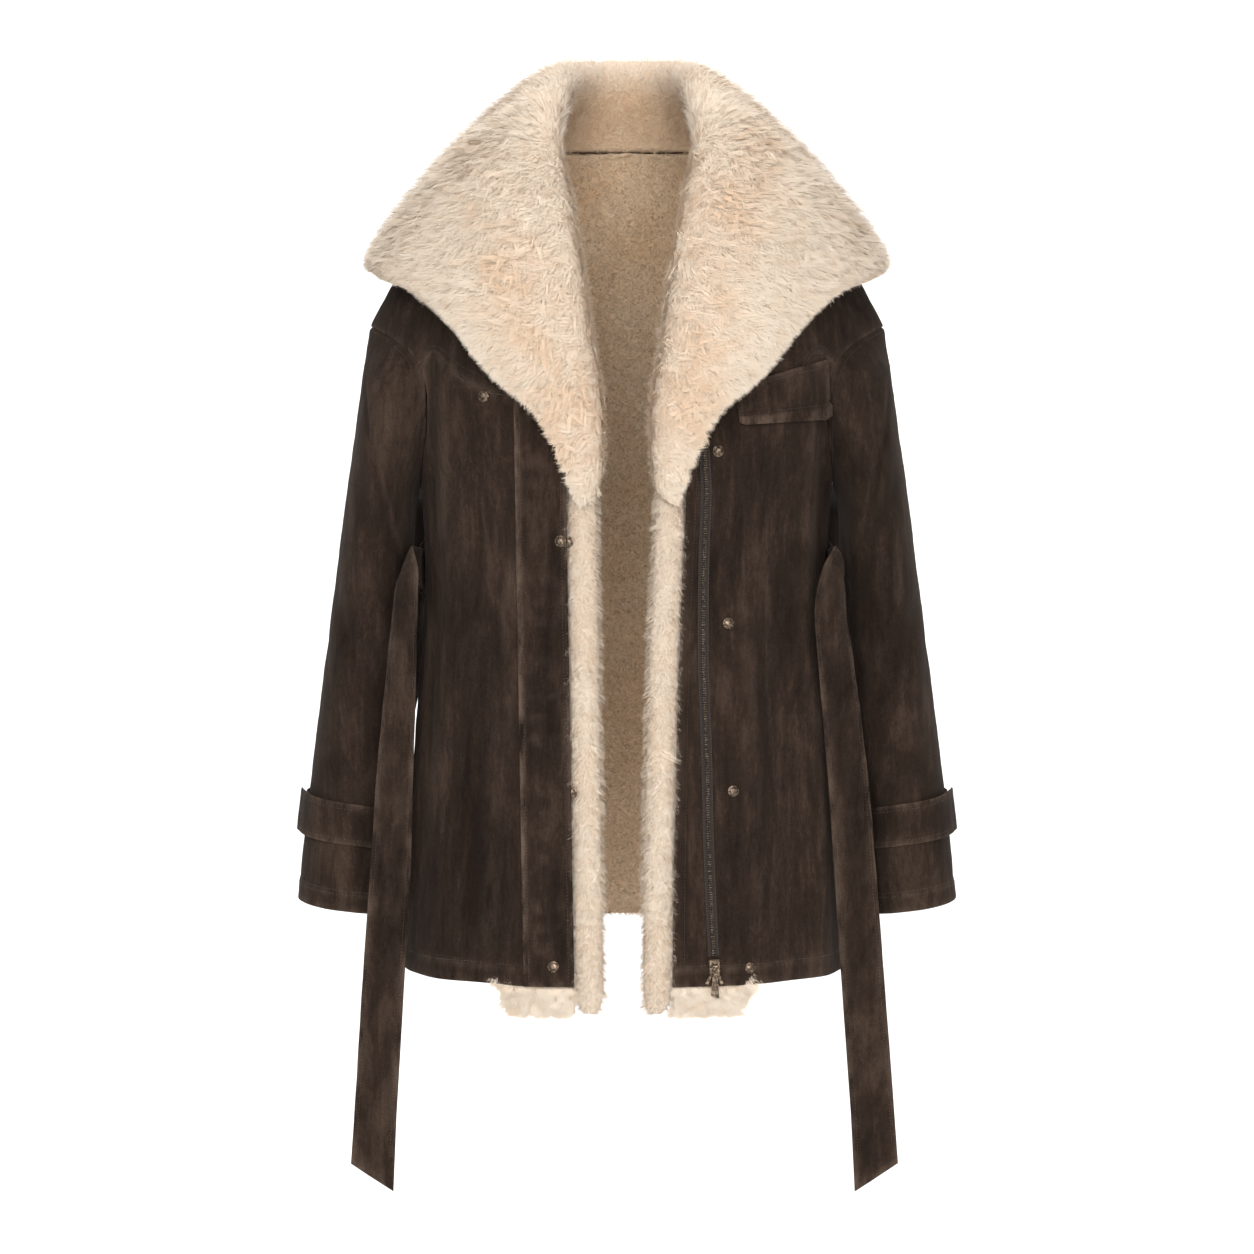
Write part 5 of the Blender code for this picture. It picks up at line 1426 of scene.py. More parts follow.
@dataclass
class FrontTrim:
    """Placket, pocket flap, zip and press studs."""

    form: BodyForm
    wardrobe: Wardrobe
    sewing: Sewing
    gap: float = 0.0009
    placket_width: float = 0.051
    placket_top: float = -0.235
    placket_flat: tuple = (0.051, 0.600)
    flap_top_in: tuple = (0.108, -0.226)
    flap_top_out: tuple = (0.2030, -0.1970)
    flap_low_in: tuple = (0.112, -0.265)
    flap_low_out: tuple = (0.2045, -0.258)
    flap_gap: float = 0.0019
    flap_thick: float = 0.0024
    flap_roll: float = 0.0022
    flap_flat: tuple = (0.115, 0.060)
    zip_top: float = -0.290
    zip_bottom: float = -0.799
    tape_width: float = 0.011
    tape_thick: float = 0.0008
    tooth_pitch: float = 0.00235
    tooth: tuple = (0.0040, 0.00125, 0.0021)
    stud_radius: float = 0.0058
    zip_line: tuple = (
        (-0.830, 0.0885), (-0.790, 0.0865), (-0.690, 0.082), (-0.600, 0.080),
        (-0.500, 0.0765), (-0.400, 0.077), (-0.330, 0.079), (-0.280, 0.0765),
    )
    # node, side, x, z, lift off the front
    studs: tuple = (
        ("stud_right_chest", -1, 0.144, -0.236, 0.0),
        ("stud_right_top", -1, 0.0665, -0.381, 0.0029),
        ("stud_right_hem", -1, 0.074, -0.809, 0.0029),
        ("stud_left_top", 1, 0.0915, -0.291, 0.0),
        ("stud_left_waist", 1, 0.102, -0.464, 0.0),
        ("stud_left_low", 1, 0.107, -0.633, 0.0),
        ("stud_left_hem", 1, 0.1245, -0.812, -0.0011),
    )
    edge_studs: tuple = (("stud_edge_1", -0.382), ("stud_edge_2", -0.634))
    # shares of the radius and heights of a stud's cap
    cap: tuple = ((1.0, 0.0), (1.0, 0.0008), (0.93, 0.0014), (0.84, 0.0012), (0.78, 0.0015),
                  (0.62, 0.0022), (0.40, 0.0026), (0.18, 0.0027), (0.0, 0.0027))

    def edge(self, side: Side, z: Array) -> Array:
        """Distance of a front edge from the middle."""
        rows = np.array(self.form.edge_left if side is Side.LEFT else self.form.edge_right)
        return curve(rows[:, 0], rows[:, 1], z)

    def placket(self) -> None:
        """Doubled strip along the right front edge, stitched along both sides."""
        panel = self.form.panel(Side.RIGHT, Face.FRONT)
        z = mix(self.form.hem_front + 0.0004, self.placket_top, edged(120, 0.004))[:, None]
        share = edged(16, 0.05)[None]
        x = self.edge(Side.RIGHT, z) + 0.0003 + (self.placket_width - 0.0003) * share
        across, up = panel.place(x, z * np.ones_like(share))
        normals = panel.normal(across, up)
        points = panel.surface(across, up) + normals * (self.gap + self.form.suede)
        line = np.abs(share * self.placket_width)
        groove = (-0.0005 * np.exp(-((line - 0.005) / 0.0012) ** 2)
                  - 0.0005 * np.exp(-((line - self.placket_width + 0.005) / 0.0012) ** 2))
        waves = (0.0007 * np.sin(z * 210 + np.sin(z * 57) * 2) * smooth(share) * smooth(2 - 2 * share)
                 + ripple(points, 0.03, 4.0) * 0.0005)
        hem = z - self.form.hem_front
        hem_groove = -0.0005 * np.exp(-((hem - 0.021) / 0.002) ** 2)
        points = points + normals * (groove + waves + hem_groove)[..., None]
        # paler suede: wear at the borders, a painted highlight along the raised outer edge, and a painted
        # highlight on the crests of the waves
        wear = (np.exp(-border_distance(points) / 0.003)
                + 0.6 * np.exp(-((line - self.placket_width + 0.002) / 0.004) ** 2)
                + np.clip(waves * 500, 0, 0.35))
        cloth = Cloth("placket", points, normals, self.form.suede, wear=wear)
        piece = show("placket_suede", cloth.mesh(True), [self.wardrobe.suede],
                     ["placket"])
        for column in (0.005, self.placket_width - 0.005):
            index = int(np.argmin(np.abs(line[0] - column)))
            self.sewing.row(points[3:-3, index], normals[3:-3, index], 0.0001)

    def flap(self) -> None:
        """Flap of the chest pocket, with its thick rolled lower edge."""
        panel = self.form.panel(Side.LEFT, Face.FRONT)
        down, share = edged(34, 0.03)[:, None], edged(40, 0.02)[None]
        corner = smooth((np.abs(share - 0.5) * 2 - 0.86) / 0.14) * 0.05
        reach = down * (1 - corner)
        x = mix(mix(self.flap_top_in[0], self.flap_low_in[0], reach),
                mix(self.flap_top_out[0], self.flap_low_out[0], reach), share)
        z = mix(mix(self.flap_top_in[1], self.flap_low_in[1], reach),
                mix(self.flap_top_out[1], self.flap_low_out[1], reach), share)
        across, up = panel.place(x, z)
        normals = panel.normal(across, up)
        roll = smooth((down - 0.74) / 0.06) * self.flap_roll
        valley = -0.0012 * np.exp(-((down - 0.74) / 0.03) ** 2)
        soft = ripple(np.stack([x, 0 * x, z], axis=-1), 0.05, 9.0) * 0.0006
        thick = self.flap_thick + roll + 0 * share
        lift = self.flap_gap + thick + valley + soft
        points = panel.surface(across, up) + normals * lift[..., None]
        edge = border_distance(points)
        # paler suede: wear at the borders and a painted highlight on the thick rolled lower edge
        wear = np.exp(-edge / 0.0035) + 0.6 * np.exp(-((down - 0.88) / 0.09) ** 2)
        cloth = Cloth("pocket_flap", points, normals, self.flap_thick, roll=0.003, wear=wear)
        piece = show("pocket_flap_suede", cloth.mesh(False), [self.wardrobe.suede],
                     ["pocket_flap"])
        row = int(np.argmin(np.abs(down[:, 0] - 0.74)))
        self.sewing.row(points[row], normals[row], 0.0002)
        row = int(np.argmin(np.abs(down[:, 0] - 0.10)))
        self.sewing.row(points[row], normals[row], 0.0001)
        for column in (4, -5):
            self.sewing.row(points[6:-3, column], normals[6:-3, column], 0.0001)

    def zip_frames(self, z: Array) -> tuple[Array, Array, Array]:
        """Places, normals and ways along of the zip's line."""
        panel = self.form.panel(Side.LEFT, Face.FRONT)
        rows = np.array(self.zip_line)
        across, up = panel.place(curve(rows[:, 0], rows[:, 1], z), z)
        points, normals = panel.surface(across, up), panel.normal(across, up)
        return points, normals, unit(np.gradient(points, axis=0))

    def zip(self) -> None:
        """Woven tape with a row of teeth along its edge."""
        z = np.linspace(self.zip_bottom, self.zip_top, 160)
        points, normals, along = self.zip_frames(z)
        wide = unit(np.cross(along, normals))
        share = edged(6, 0.08)[None, :, None] - 0.5
        lift = self.gap + self.tape_thick
        waver = (0.0003 * np.sin(z * 300))[:, None, None]
        grid = (points[:, None] + wide[:, None] * share * self.tape_width
                + normals[:, None] * (lift + waver * 0))
        directions = np.broadcast_to(normals[:, None], grid.shape)
        cloth = Cloth("zip_tape", grid, directions, self.tape_thick, roll=0.0008)
        flip = float(np.cross(grid[0, 1] - grid[0, 0], grid[1, 0] - grid[0, 0]) @ normals[0]) < 0
        piece = show("zip_tape_woven", cloth.mesh(flip), [self.wardrobe.tape],
                     ["zip_tape"])
        for edge in (2, -3):
            self.sewing.row(grid[:, edge], normals, 0.0001)
        self.teeth(wide, lift)

    def teeth(self, wide: Array, lift: float) -> None:
        """The row of teeth, each a bead with a waist, staggered a little."""
        count = int((self.zip_top - self.zip_bottom) / self.tooth_pitch)
        z = np.linspace(self.zip_bottom + 0.001, self.zip_top - 0.001, count)
        points, normals, along = self.zip_frames(z)
        wide = unit(np.cross(along, normals))
        long, tall, deep = self.tooth
        # share across, share of the height and of the depth
        rings = ((-0.5, 0.55, 0.5), (-0.42, 1.0, 0.9), (-0.10, 1.0, 1.0), (0.12, 0.70, 0.85),
                 (0.30, 1.05, 1.0), (0.46, 0.9, 0.8), (0.5, 0.5, 0.4))
        grid = []
        for x, h, d in rings:
            for u, v in ((-1, 0.0), (-1, 0.8), (-0.5, 1.0), (0.5, 1.0), (1, 0.8), (1, 0.0)):
                grid.append(points + wide * x * long + along * (u * h * tall / 2)
                            + normals * (lift + 0.0001 + v * d * deep))
        verts = np.stack(grid, axis=1).reshape(-1, 3)
        pattern = grid_faces(len(rings), 6, True)
        caps = np.array([[0, 1, 4, 5], [1, 2, 3, 4]])
        ends = np.concatenate([caps[:, ::-1], caps + (len(rings) - 1) * 6])
        pattern = np.concatenate([pattern, ends])
        start = np.arange(count) * len(rings) * 6
        faces = (pattern[None] + start[:, None, None]).reshape(-1, 4)
        mesh = make_mesh("zip_teeth", verts, faces)
        show("zip_teeth", mesh, [self.wardrobe.bronze], ["zip_chain"])

    def stud(self, node: str, base: Array, normal: Array, half: bool) -> None:
        """A press stud's turned cap, or half of one that shows past an edge.

        Args:
            node: the solid that it stands for.
            base: the middle of its foot.
            normal: the way it faces.
            half: whether only the half past the front edge is there.
        """
        other = unit(np.cross(np.array([0, 0, 1.0]), normal))
        up = np.cross(normal, other)
        sides = 40
        sweep = math.pi if half else 2 * math.pi
        angle = np.linspace(0, sweep, sides + 1)[:sides + 1 if half else sides]
        spin = up[None] * np.cos(angle)[:, None] + other[None] * np.sin(angle)[:, None]
        grid = np.stack([base + spin * self.stud_radius * share + normal * height
                         for share, height in self.cap], axis=0)
        grid = np.concatenate([np.broadcast_to(base, grid[:1].shape), grid], axis=0)
        rows, columns = grid.shape[:2]
        faces = grid_faces(rows, columns, not half)
        if half:
            cut = np.arange(rows - 1)
            lid = np.stack([cut * columns, cut * columns + columns - 1,
                            (cut + 1) * columns + columns - 1, (cut + 1) * columns], axis=1)
            faces = np.concatenate([faces, lid])
        mesh = make_mesh(node + "_cap", grid.reshape(-1, 3), faces)
        mesh.validate()
        show(node + "_cap", mesh, [self.wardrobe.bronze], [node])

    def press_studs(self) -> None:
        """Every press stud."""
        for node, sign, x, z, lift in self.studs:
            panel = self.form.panel(Side(sign), Face.FRONT)
            across, up = panel.place(x, z)
            normal = panel.normal(across, up)
            self.stud(node, panel.surface(across, up) + normal * (lift + 0.0003), normal, False)
        panel = self.form.panel(Side.RIGHT, Face.FRONT)
        for node, z in self.edge_studs:
            across, up = panel.place(self.edge(Side.RIGHT, z), z)
            normal = panel.normal(across, up)
            base = panel.surface(across, up) + normal * 0.0034 + np.array([0.0006, 0, 0])
            self.stud(node, base, normal, True)

    def metal(self) -> None:
        """The slider and its pull keep their solids and take the bronze."""
        for node in ("zip_slider", "zip_pull"):
            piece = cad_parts[node]
            piece.data.materials.clear()
            piece.data.materials.append(self.wardrobe.bronze)

    def build(self) -> None:
        """All the trim of the fronts."""
        self.placket()
        self.flap()
        self.zip()
        self.press_studs()
        self.metal()


# ------------------------------------------------------------------ belt


@dataclass
class Belt:
    """The untied belt: across the back, through the loops and down in front on both sides."""

    form: BodyForm
    wardrobe: Wardrobe
    sewing: Sewing
    width: float = 0.043
    thick: float = 0.003
    gap: float = 0.0009
    height: float = -0.412
    tip: float = 0.94
    tip_slant: float = 0.026
    bow: float = 0.4
    flat: tuple = (0.043, 1.92)
    loop_width: float = 0.012
    loop_height: float = 0.060
    loop_thick: float = 0.0016
    loop_back: float = 0.012
    # x, y, z, width, facing in degrees, curl
    left: tuple = (
        (0.2105, -0.012, -0.4120, 0.0430, 0.0, 0.000), (0.2125, -0.040, -0.4080, 0.0400, 6.0, 0.004),
        (0.2170, -0.066, -0.4040, 0.0340, 26.0, 0.008), (0.2120, -0.086, -0.4200, 0.0330, 56.0, 0.010),
        (0.2080, -0.093, -0.4550, 0.0355, 76.0, 0.009), (0.2145, -0.093, -0.5200, 0.0390, 82.0, 0.006),
        (0.2250, -0.090, -0.6200, 0.0420, 85.0, 0.003), (0.2330, -0.086, -0.7200, 0.0435, 88.0, 0.002),
        (0.2405, -0.083, -0.8200, 0.0445, 92.0, 0.002), (0.2490, -0.081, -0.9300, 0.0450, 90.0, 0.001),
        (0.2560, -0.080, -1.0220, 0.0450, 90.0, 0.001),
    )
    right: tuple = (
        (0.2137, -0.012, -0.4120, 0.0430, 0.0, 0.000), (0.2160, -0.040, -0.4080, 0.0400, 6.0, 0.004),
        (0.2230, -0.066, -0.4035, 0.0320, 26.0, 0.006), (0.2245, -0.087, -0.4190, 0.0280, 58.0, 0.007),
        (0.2265, -0.094, -0.4550, 0.0280, 76.0, 0.009), (0.2300, -0.094, -0.5200, 0.0330, 82.0, 0.006),
        (0.2365, -0.091, -0.6200, 0.0385, 86.0, 0.003), (0.2415, -0.087, -0.7200, 0.0420, 92.0, 0.002),
        (0.2485, -0.084, -0.8200, 0.0435, 90.0, 0.002), (0.2555, -0.082, -0.9300, 0.0440, 86.0, 0.001),
        (0.2615, -0.081, -1.0220, 0.0440, 90.0, 0.001),
    )

    def hanging(self, side: Side, count: int = 120) -> list[Array]:
        """Sections of one hanging end: middles, ways along the width, facings, widths, curls, shares."""
        rows = np.array(self.left if side is Side.LEFT else self.right)
        share = np.linspace(0, 1, count)
        at = share * (len(rows) - 1)
        knots = np.arange(len(rows))
        place = curve(knots, rows, at)
        ahead = curve(knots, rows[:, :3], at + 0.1) - curve(knots, rows[:, :3], at - 0.1)
        flip = np.array([side.value, 1.0, 1.0])
        middle, along = place[:, :3] * flip, unit(ahead * flip)
        facing = np.radians(place[:, 4])
        out = joined(side.value * np.cos(facing), -np.sin(facing), 0 * facing)
        out = unit(out - along * (out * along).sum(1, keepdims=True))
        wide = unit(np.cross(along, out)) * side.value
        return [middle, wide, out, place[:, 3], place[:, 5], share]

    def across_back(self, count: int = 90) -> list[Array]:
        """Sections of the stretch across the back, from the right side to the left."""
        share = np.linspace(-0.985, 0.985, count)
        up = (self.height - self.form.hem_side) / (self.form.underarm - self.form.hem_side)
        middles, wides, outs = [], [], []
        for sign in (Side.RIGHT, Side.LEFT):
            chosen = share[share * sign.value > 0]
            panel = self.form.panel(sign, Face.BACK)
            across = np.abs(chosen)
            out = panel.normal(across, np.full(across.shape, up))
            high = panel.foot(across, np.full(across.shape, self.height + self.width / 2))
            low = panel.foot(across, np.full(across.shape, self.height - self.width / 2))
            middles.append((high + low) / 2 + out * (self.gap + self.thick / 2))
            wides.append(unit(high - low))
            outs.append(out)
        middle = np.concatenate(middles)
        size = len(middle)
        return [middle, np.concatenate(wides), np.concatenate(outs), np.full(size, self.width),
                np.zeros(size), np.zeros(size)]

    def strip(self) -> None:
        """The belt in one piece, doubled and edge stitched."""
        right, back, left = self.hanging(Side.RIGHT), self.across_back(), self.hanging(Side.LEFT)
        run = [np.concatenate([r[::-1], b, l]) for r, b, l in zip(right, back, left)]
        hangs = np.concatenate([np.ones(len(right[0])), np.zeros(len(back[0])),
                                np.ones(len(left[0]))])
        middle, wide, out, width, curl, gone = run
        share = (edged(14, 0.05) * 2 - 1)[None]
        bow = curl[:, None] * (self.bow - share ** 2)
        slant = (np.maximum(gone - self.tip, 0) / (1 - self.tip) * hangs)[:, None] \
            * self.tip_slant * (1 + share) / 2
        grid = (middle[:, None] + wide[:, None] * (share * width[:, None] / 2)[..., None]
                + out[:, None] * (bow + self.thick / 2)[..., None])
        grid[..., 2] -= slant
        normals = grid_normals(grid)
        if (normals * out[:, None]).sum() < 0:
            normals = -normals
        edge = border_distance(grid)
        groove = -0.0005 * np.exp(-((edge - 0.004) / 0.0011) ** 2)
        pillow = 0.0006 * smooth(edge / 0.012)
        waver = ripple(grid, 0.045, 6.0) * 0.0008
        grid = grid + normals * (groove + pillow + waver)[..., None]
        # paler suede: wear at the edges and a painted highlight on the crests of its waver
        wear = np.exp(-edge / 0.0045) * 1.0 + np.clip(waver * 260, 0, 0.3)
        cloth = Cloth("belt", grid, normals, self.thick, roll=0.0022, wear=wear)
        flip = float((np.cross(grid[5, 1] - grid[5, 0], grid[6, 0] - grid[5, 0]) * normals[5, 0]).sum()) < 0
        piece = show("belt_suede", cloth.mesh(flip), [self.wardrobe.suede], ["belt"])
        line = (share[0] + 1) / 2 * self.width
        for at in (0.004, self.width - 0.004):
            column = int(np.argmin(np.abs(line - at)))
            self.sewing.row(grid[3:-3, column], normals[3:-3, column], 0.0002)

    def loop(self, side: Side) -> None:
        """A narrow strip that bows over the belt at the side seam."""
        panel = self.form.panel(side, Face.BACK)
        step = (edged(30, 0.03) * 2 - 1)[:, None]
        share = (edged(6, 0.12) * 2 - 1)[None]
        z = self.height + step * self.loop_height / 2 + 0 * share
        turn = math.pi / 2 - (self.loop_back + share * self.loop_width / 2) / panel.width(z)
        lift = 0.0003 + (self.thick + 2 * self.gap) * smooth((1 - np.abs(step)) / 0.22)
        points = panel.around(turn, z)
        points[..., 0] += side.value * (lift + self.loop_thick)
        normals = grid_normals(points)
        if (normals[..., 0] * side.value).sum() < 0:
            normals = -normals
        name = f"belt_loop_{side.word}"
        cloth = Cloth(name, points, normals, self.loop_thick, roll=0.0015)
        flip = float(np.cross(points[3, 4] - points[3, 3], points[4, 3] - points[3, 3])
                     @ normals[3, 3]) < 0
        piece = show(f"{name}_suede", cloth.mesh(flip), [self.wardrobe.suede], [name])
        for column in (2, -3):
            self.sewing.row(points[2:-2, column], normals[2:-2, column], 0.0001)

    def build(self) -> None:
        """Belt and loops."""
        self.strip()
        for side in Side:
            self.loop(side)


# ------------------------------------------------------------------ fur pieces


@dataclass
class FurTrim:
    """Linings and facings."""

    form: BodyForm
    wardrobe: Wardrobe
    lining_strands: int = 14000
    drop_strands: int = 4200
    facing_strands: int = 8000
    facing_width: float = 0.033
    facing_shift: float = 0.0022
    facing_thick: float = 0.018
    facing_sink: float = 0.006
    facing_sink_top: float = 0.011
    facing_top: float = 1.36
    facing_square: float = 0.75
    draw_back: float = 0.004
    short: Fleece = Fleece(stand=0.75, sweep=0.50, sway=0.45, lock=0.0060, gather=(0.30, 0.85),
                           curl=(0.20, 0.50), width=0.00055, uneven=0.22)
    short_fuzz: Fleece = Fleece(stand=0.80, sweep=0.45, sway=0.45, gather=(0.20, 0.80),
                                curl=(0.0, 0.0), width=0.00050, uneven=0.20, times=(0.0, 1.0),
                                swell=(1.0, 0.0))
    fluffy: Fleece = Fleece(stand=0.70, sweep=0.60, sway=0.35, lock=0.0055)
    fluffy_fuzz: Fleece = Fleece(stand=0.80, sweep=0.50, sway=0.35, gather=(0.15, 0.70),
                                 curl=(0.0, 0.0), width=0.00042, uneven=0.20, times=(0.0, 1.0),
                                 swell=(1.0, 0.0))

    def back_lining(self) -> None:
        """Short curly fur inside the back."""
        half = np.linspace(0, 1, 44)
        rows = np.linspace(0, 1, 80)[:, None]
        grids, directions = [], []
        for side in (Side.RIGHT, Side.LEFT):
            panel = self.form.panel(side, Face.BACK)
            line = (half[::-1] if side is Side.RIGHT else half[1:])[None] * 1.003
            ups = mix(panel.lining_start(line), 1.999, rows)
            points, normals = panel.surface(line, ups), panel.normal(line, ups)
            grids.append(points)
            directions.append(normals)
        points, normals = np.concatenate(grids, axis=1), np.concatenate(directions, axis=1)
        start = self.form.suede + self.form.lining_gap
        body = points - normals * (start + self.draw_back)
        bumps = ripple(points, 0.014, 2.0) * 0.0012
        cloth = Cloth("lining_back", body, normals, 0.0, roll=0.008)
        cloth.thick = self.form.pile * 0.55
        mesh = cloth.mesh(True, True)
        self.swell(mesh, points.shape, -normals, bumps)
        piece = show("lining_back_fur", mesh, [self.wardrobe.suede, self.wardrobe.tan_under],
                     ["lining_back"])
        inward = -normals
        roots = points + inward * (start + self.form.pile * 0.45)
        depth = np.full(points.shape[:2], self.form.pile * 0.85)
        middle = 0.25 + 0.75 * smooth((0.17 - np.abs(points[..., 0])) / 0.08)
        low = 1 + 1.5 * smooth((points[0:1, :, 2] + 0.02 - points[..., 2]) / 0.02)
        flow = np.broadcast_to(np.array([0.0, 0.0, -1.0]), points.shape)
        curls = smooth(ripple(points, 0.09, 15.0) * 0.9 + 0.5)
        hide = Hide(roots, inward, flow, depth, middle * low, curls, np.zeros(curls.shape))
        for label, fleece, count in (("lining_back_strands", self.short, self.lining_strands),
                                     ("lining_back_fuzz", self.short_fuzz, self.lining_strands * 3)):
            show(label, fleece.grow(label, hide, count, 11), [self.wardrobe.tan_strands])

    @staticmethod
    def swell(mesh: bpy.types.Mesh, shape: tuple, directions: Array, bumps: Array) -> None:
        """Move a wall's inner skin by bumps."""
        count = shape[0] * shape[1]
        co = np.zeros(len(mesh.vertices) * 3, np.float32)
        mesh.vertices.foreach_get("co", co)
        co = co.reshape(-1, 3)
        co[count:] += (directions * bumps[..., None]).reshape(-1, 3)
        mesh.vertices.foreach_set("co", co.ravel())
        mesh.update()

    def front_lining(self, side: Side) -> None:
        """Fur lining of a front, which hangs below the suede near the opening."""
        panel = self.form.panel(side, Face.FRONT)
        line = np.linspace(0.001, 1.003, 40)[None]
        ups = mix(panel.lining_start(line), 1.985, np.linspace(0, 1, 70)[:, None] ** 1.15)
        points, normals = panel.surface(line, ups), panel.normal(line, ups)
        start = self.form.suede + self.form.lining_gap
        hidden = smooth((points[..., 2] - self.form.hem_front) / 0.03) * self.draw_back
        body = points - normals * (start + hidden)[..., None]
        cloth = Cloth(f"lining_front_{side.word}", body, normals, self.form.pile * 0.6, roll=0.008)
        mesh = cloth.mesh(side is Side.RIGHT)
        piece = show(f"lining_front_{side.word}_fur", mesh, [self.wardrobe.cream_under],
                     [f"lining_front_{side.word}"])
        low = points[..., 2] < -0.812
        weight = np.where(low, 1.0, 0.0) + 0.02
        roots_in = points - normals * (start + self.form.pile * 0.55)
        flow = np.broadcast_to(np.array([0.0, 0.0, -1.0]), points.shape)
        shape = points.shape[:2]
        below = panel.hem(line) - points[..., 2] > 0.0035
        outer = Hide(points - normals * (start + 0.004), normals, flow,
                     np.full(shape, self.form.pile * 0.9), np.where(below, 1.0, 0.0),
                     np.zeros(shape), np.zeros(shape))
        inner = Hide(roots_in, -normals, flow, np.full(shape, self.form.pile * 0.9), weight,
                     np.zeros(shape), np.zeros(shape))
        for name, hide, fleece, count, seed in (
                ("drop", outer, self.fluffy, self.drop_strands, 21),
                ("drop_fuzz", outer, self.fluffy_fuzz, self.drop_strands * 3, 21),
                ("inside", inner, self.fluffy, self.drop_strands // 2, 23)):
            label = f"lining_{name}_{side.word}_strands"
            show(label, fleece.grow(label, hide, count, seed + side.value),
                 [self.wardrobe.cream_strands])

    def facing(self, side: Side) -> None:
        """Fat fur strip along a front edge."""
        panel = self.form.panel(side, Face.FRONT)
        rings, sides = 130, 26
        step = np.linspace(0, 1, rings + 1)
        up = mix(panel.lining_start(np.zeros(1)), self.facing_top, step)
        zero = np.zeros(up.shape)
        end = np.minimum(np.minimum(step, 1 - step) / 0.05, 1.0)
        swell = mix(0.45, 1.0, np.sqrt(1 - (1 - end) ** 2))
        surface = panel.surface(zero, up)
        sink = mix(self.facing_sink, self.facing_sink_top, smooth((surface[:, 2] + 0.375) / 0.03))
        out = panel.normal(zero, up)
        base = surface - out * sink[:, None]
        along = unit(panel.surface(zero, up + 0.01) - surface)
        inward = unit(np.cross(along, out))
        inward = inward * np.where(inward[:, :1] * side.value < 0, 1.0, -1.0)
        middle = base + inward * (self.facing_width / 2 + 0.0003)
        angle = np.linspace(0, 2 * math.pi, sides + 1)[:-1]
        wide = power(np.cos(angle), self.facing_square) * self.facing_width / 2
        deep = power(np.sin(angle), self.facing_square) * self.facing_thick / 2
        away = (inward[:, None] * wide[None, :, None] + out[:, None] * deep[None, :, None])
        away = away * swell[:, None, None]
        shift = inward * (self.facing_shift * swell)[:, None]
        core = middle[:, None] - shift[:, None] + away * 0.86
        lumps = ripple(core, 0.016, 5.0 + side.value) * 0.0012
        core = core + unit(away) * lumps[..., None]
        faces = grid_faces(rings + 1, sides, True)
        mesh = make_mesh(f"facing_{side.word}", core.reshape(-1, 3), faces)
        mesh = self.capped(mesh, rings, sides)
        name = f"facing_{side.word}"
        piece = show(f"{name}_fur", mesh, [self.wardrobe.cream_under], [name])
        closed = np.concatenate([core, core[:, :1]], axis=1)
        direction = unit(np.concatenate([away, away[:, :1]], axis=1))
        flow = np.broadcast_to(np.array([0.0, -0.15, -1.0]), closed.shape)
        weight = 0.25 + smooth((direction * out[:, None]).sum(-1) * 1.5 + 0.8)
        plain = np.zeros(closed.shape[:2])
        hide = Hide(closed - direction * 0.002, direction, flow, plain + 0.0100, weight, plain, plain)
        for label, fleece, count in ((f"{name}_strands", self.fluffy, self.facing_strands),
                                     (f"{name}_fuzz", self.fluffy_fuzz, self.facing_strands * 3)):
            show(label, fleece.grow(label, hide, count, 31 + side.value),
                 [self.wardrobe.cream_strands])

    @staticmethod
    def capped(mesh: bpy.types.Mesh, rings: int, sides: int) -> bpy.types.Mesh:
        """Close a tube's two ends."""
        points = np.zeros(len(mesh.vertices) * 3, np.float32)
        mesh.vertices.foreach_get("co", points)
        points = points.reshape(-1, 3)
        first, last = points[:sides].mean(0), points[-sides:].mean(0)
        count = len(points)
        j = np.arange(sides)
        k = (j + 1) % sides
        fans = np.concatenate([np.stack([k, j, np.full(sides, count)], axis=1),
                               np.stack([rings * sides + j, rings * sides + k,
                                         np.full(sides, count + 1)], axis=1)])
        quads = grid_faces(rings + 1, sides, True)
        name = mesh.name
        bpy.data.meshes.remove(mesh)
        return make_mesh(name, np.concatenate([points, [first], [last]]), quads, fans)

    def build(self) -> None:
        """Linings and facings."""
        self.back_lining()
        for side in Side:
            self.front_lining(side)
            self.facing(side)


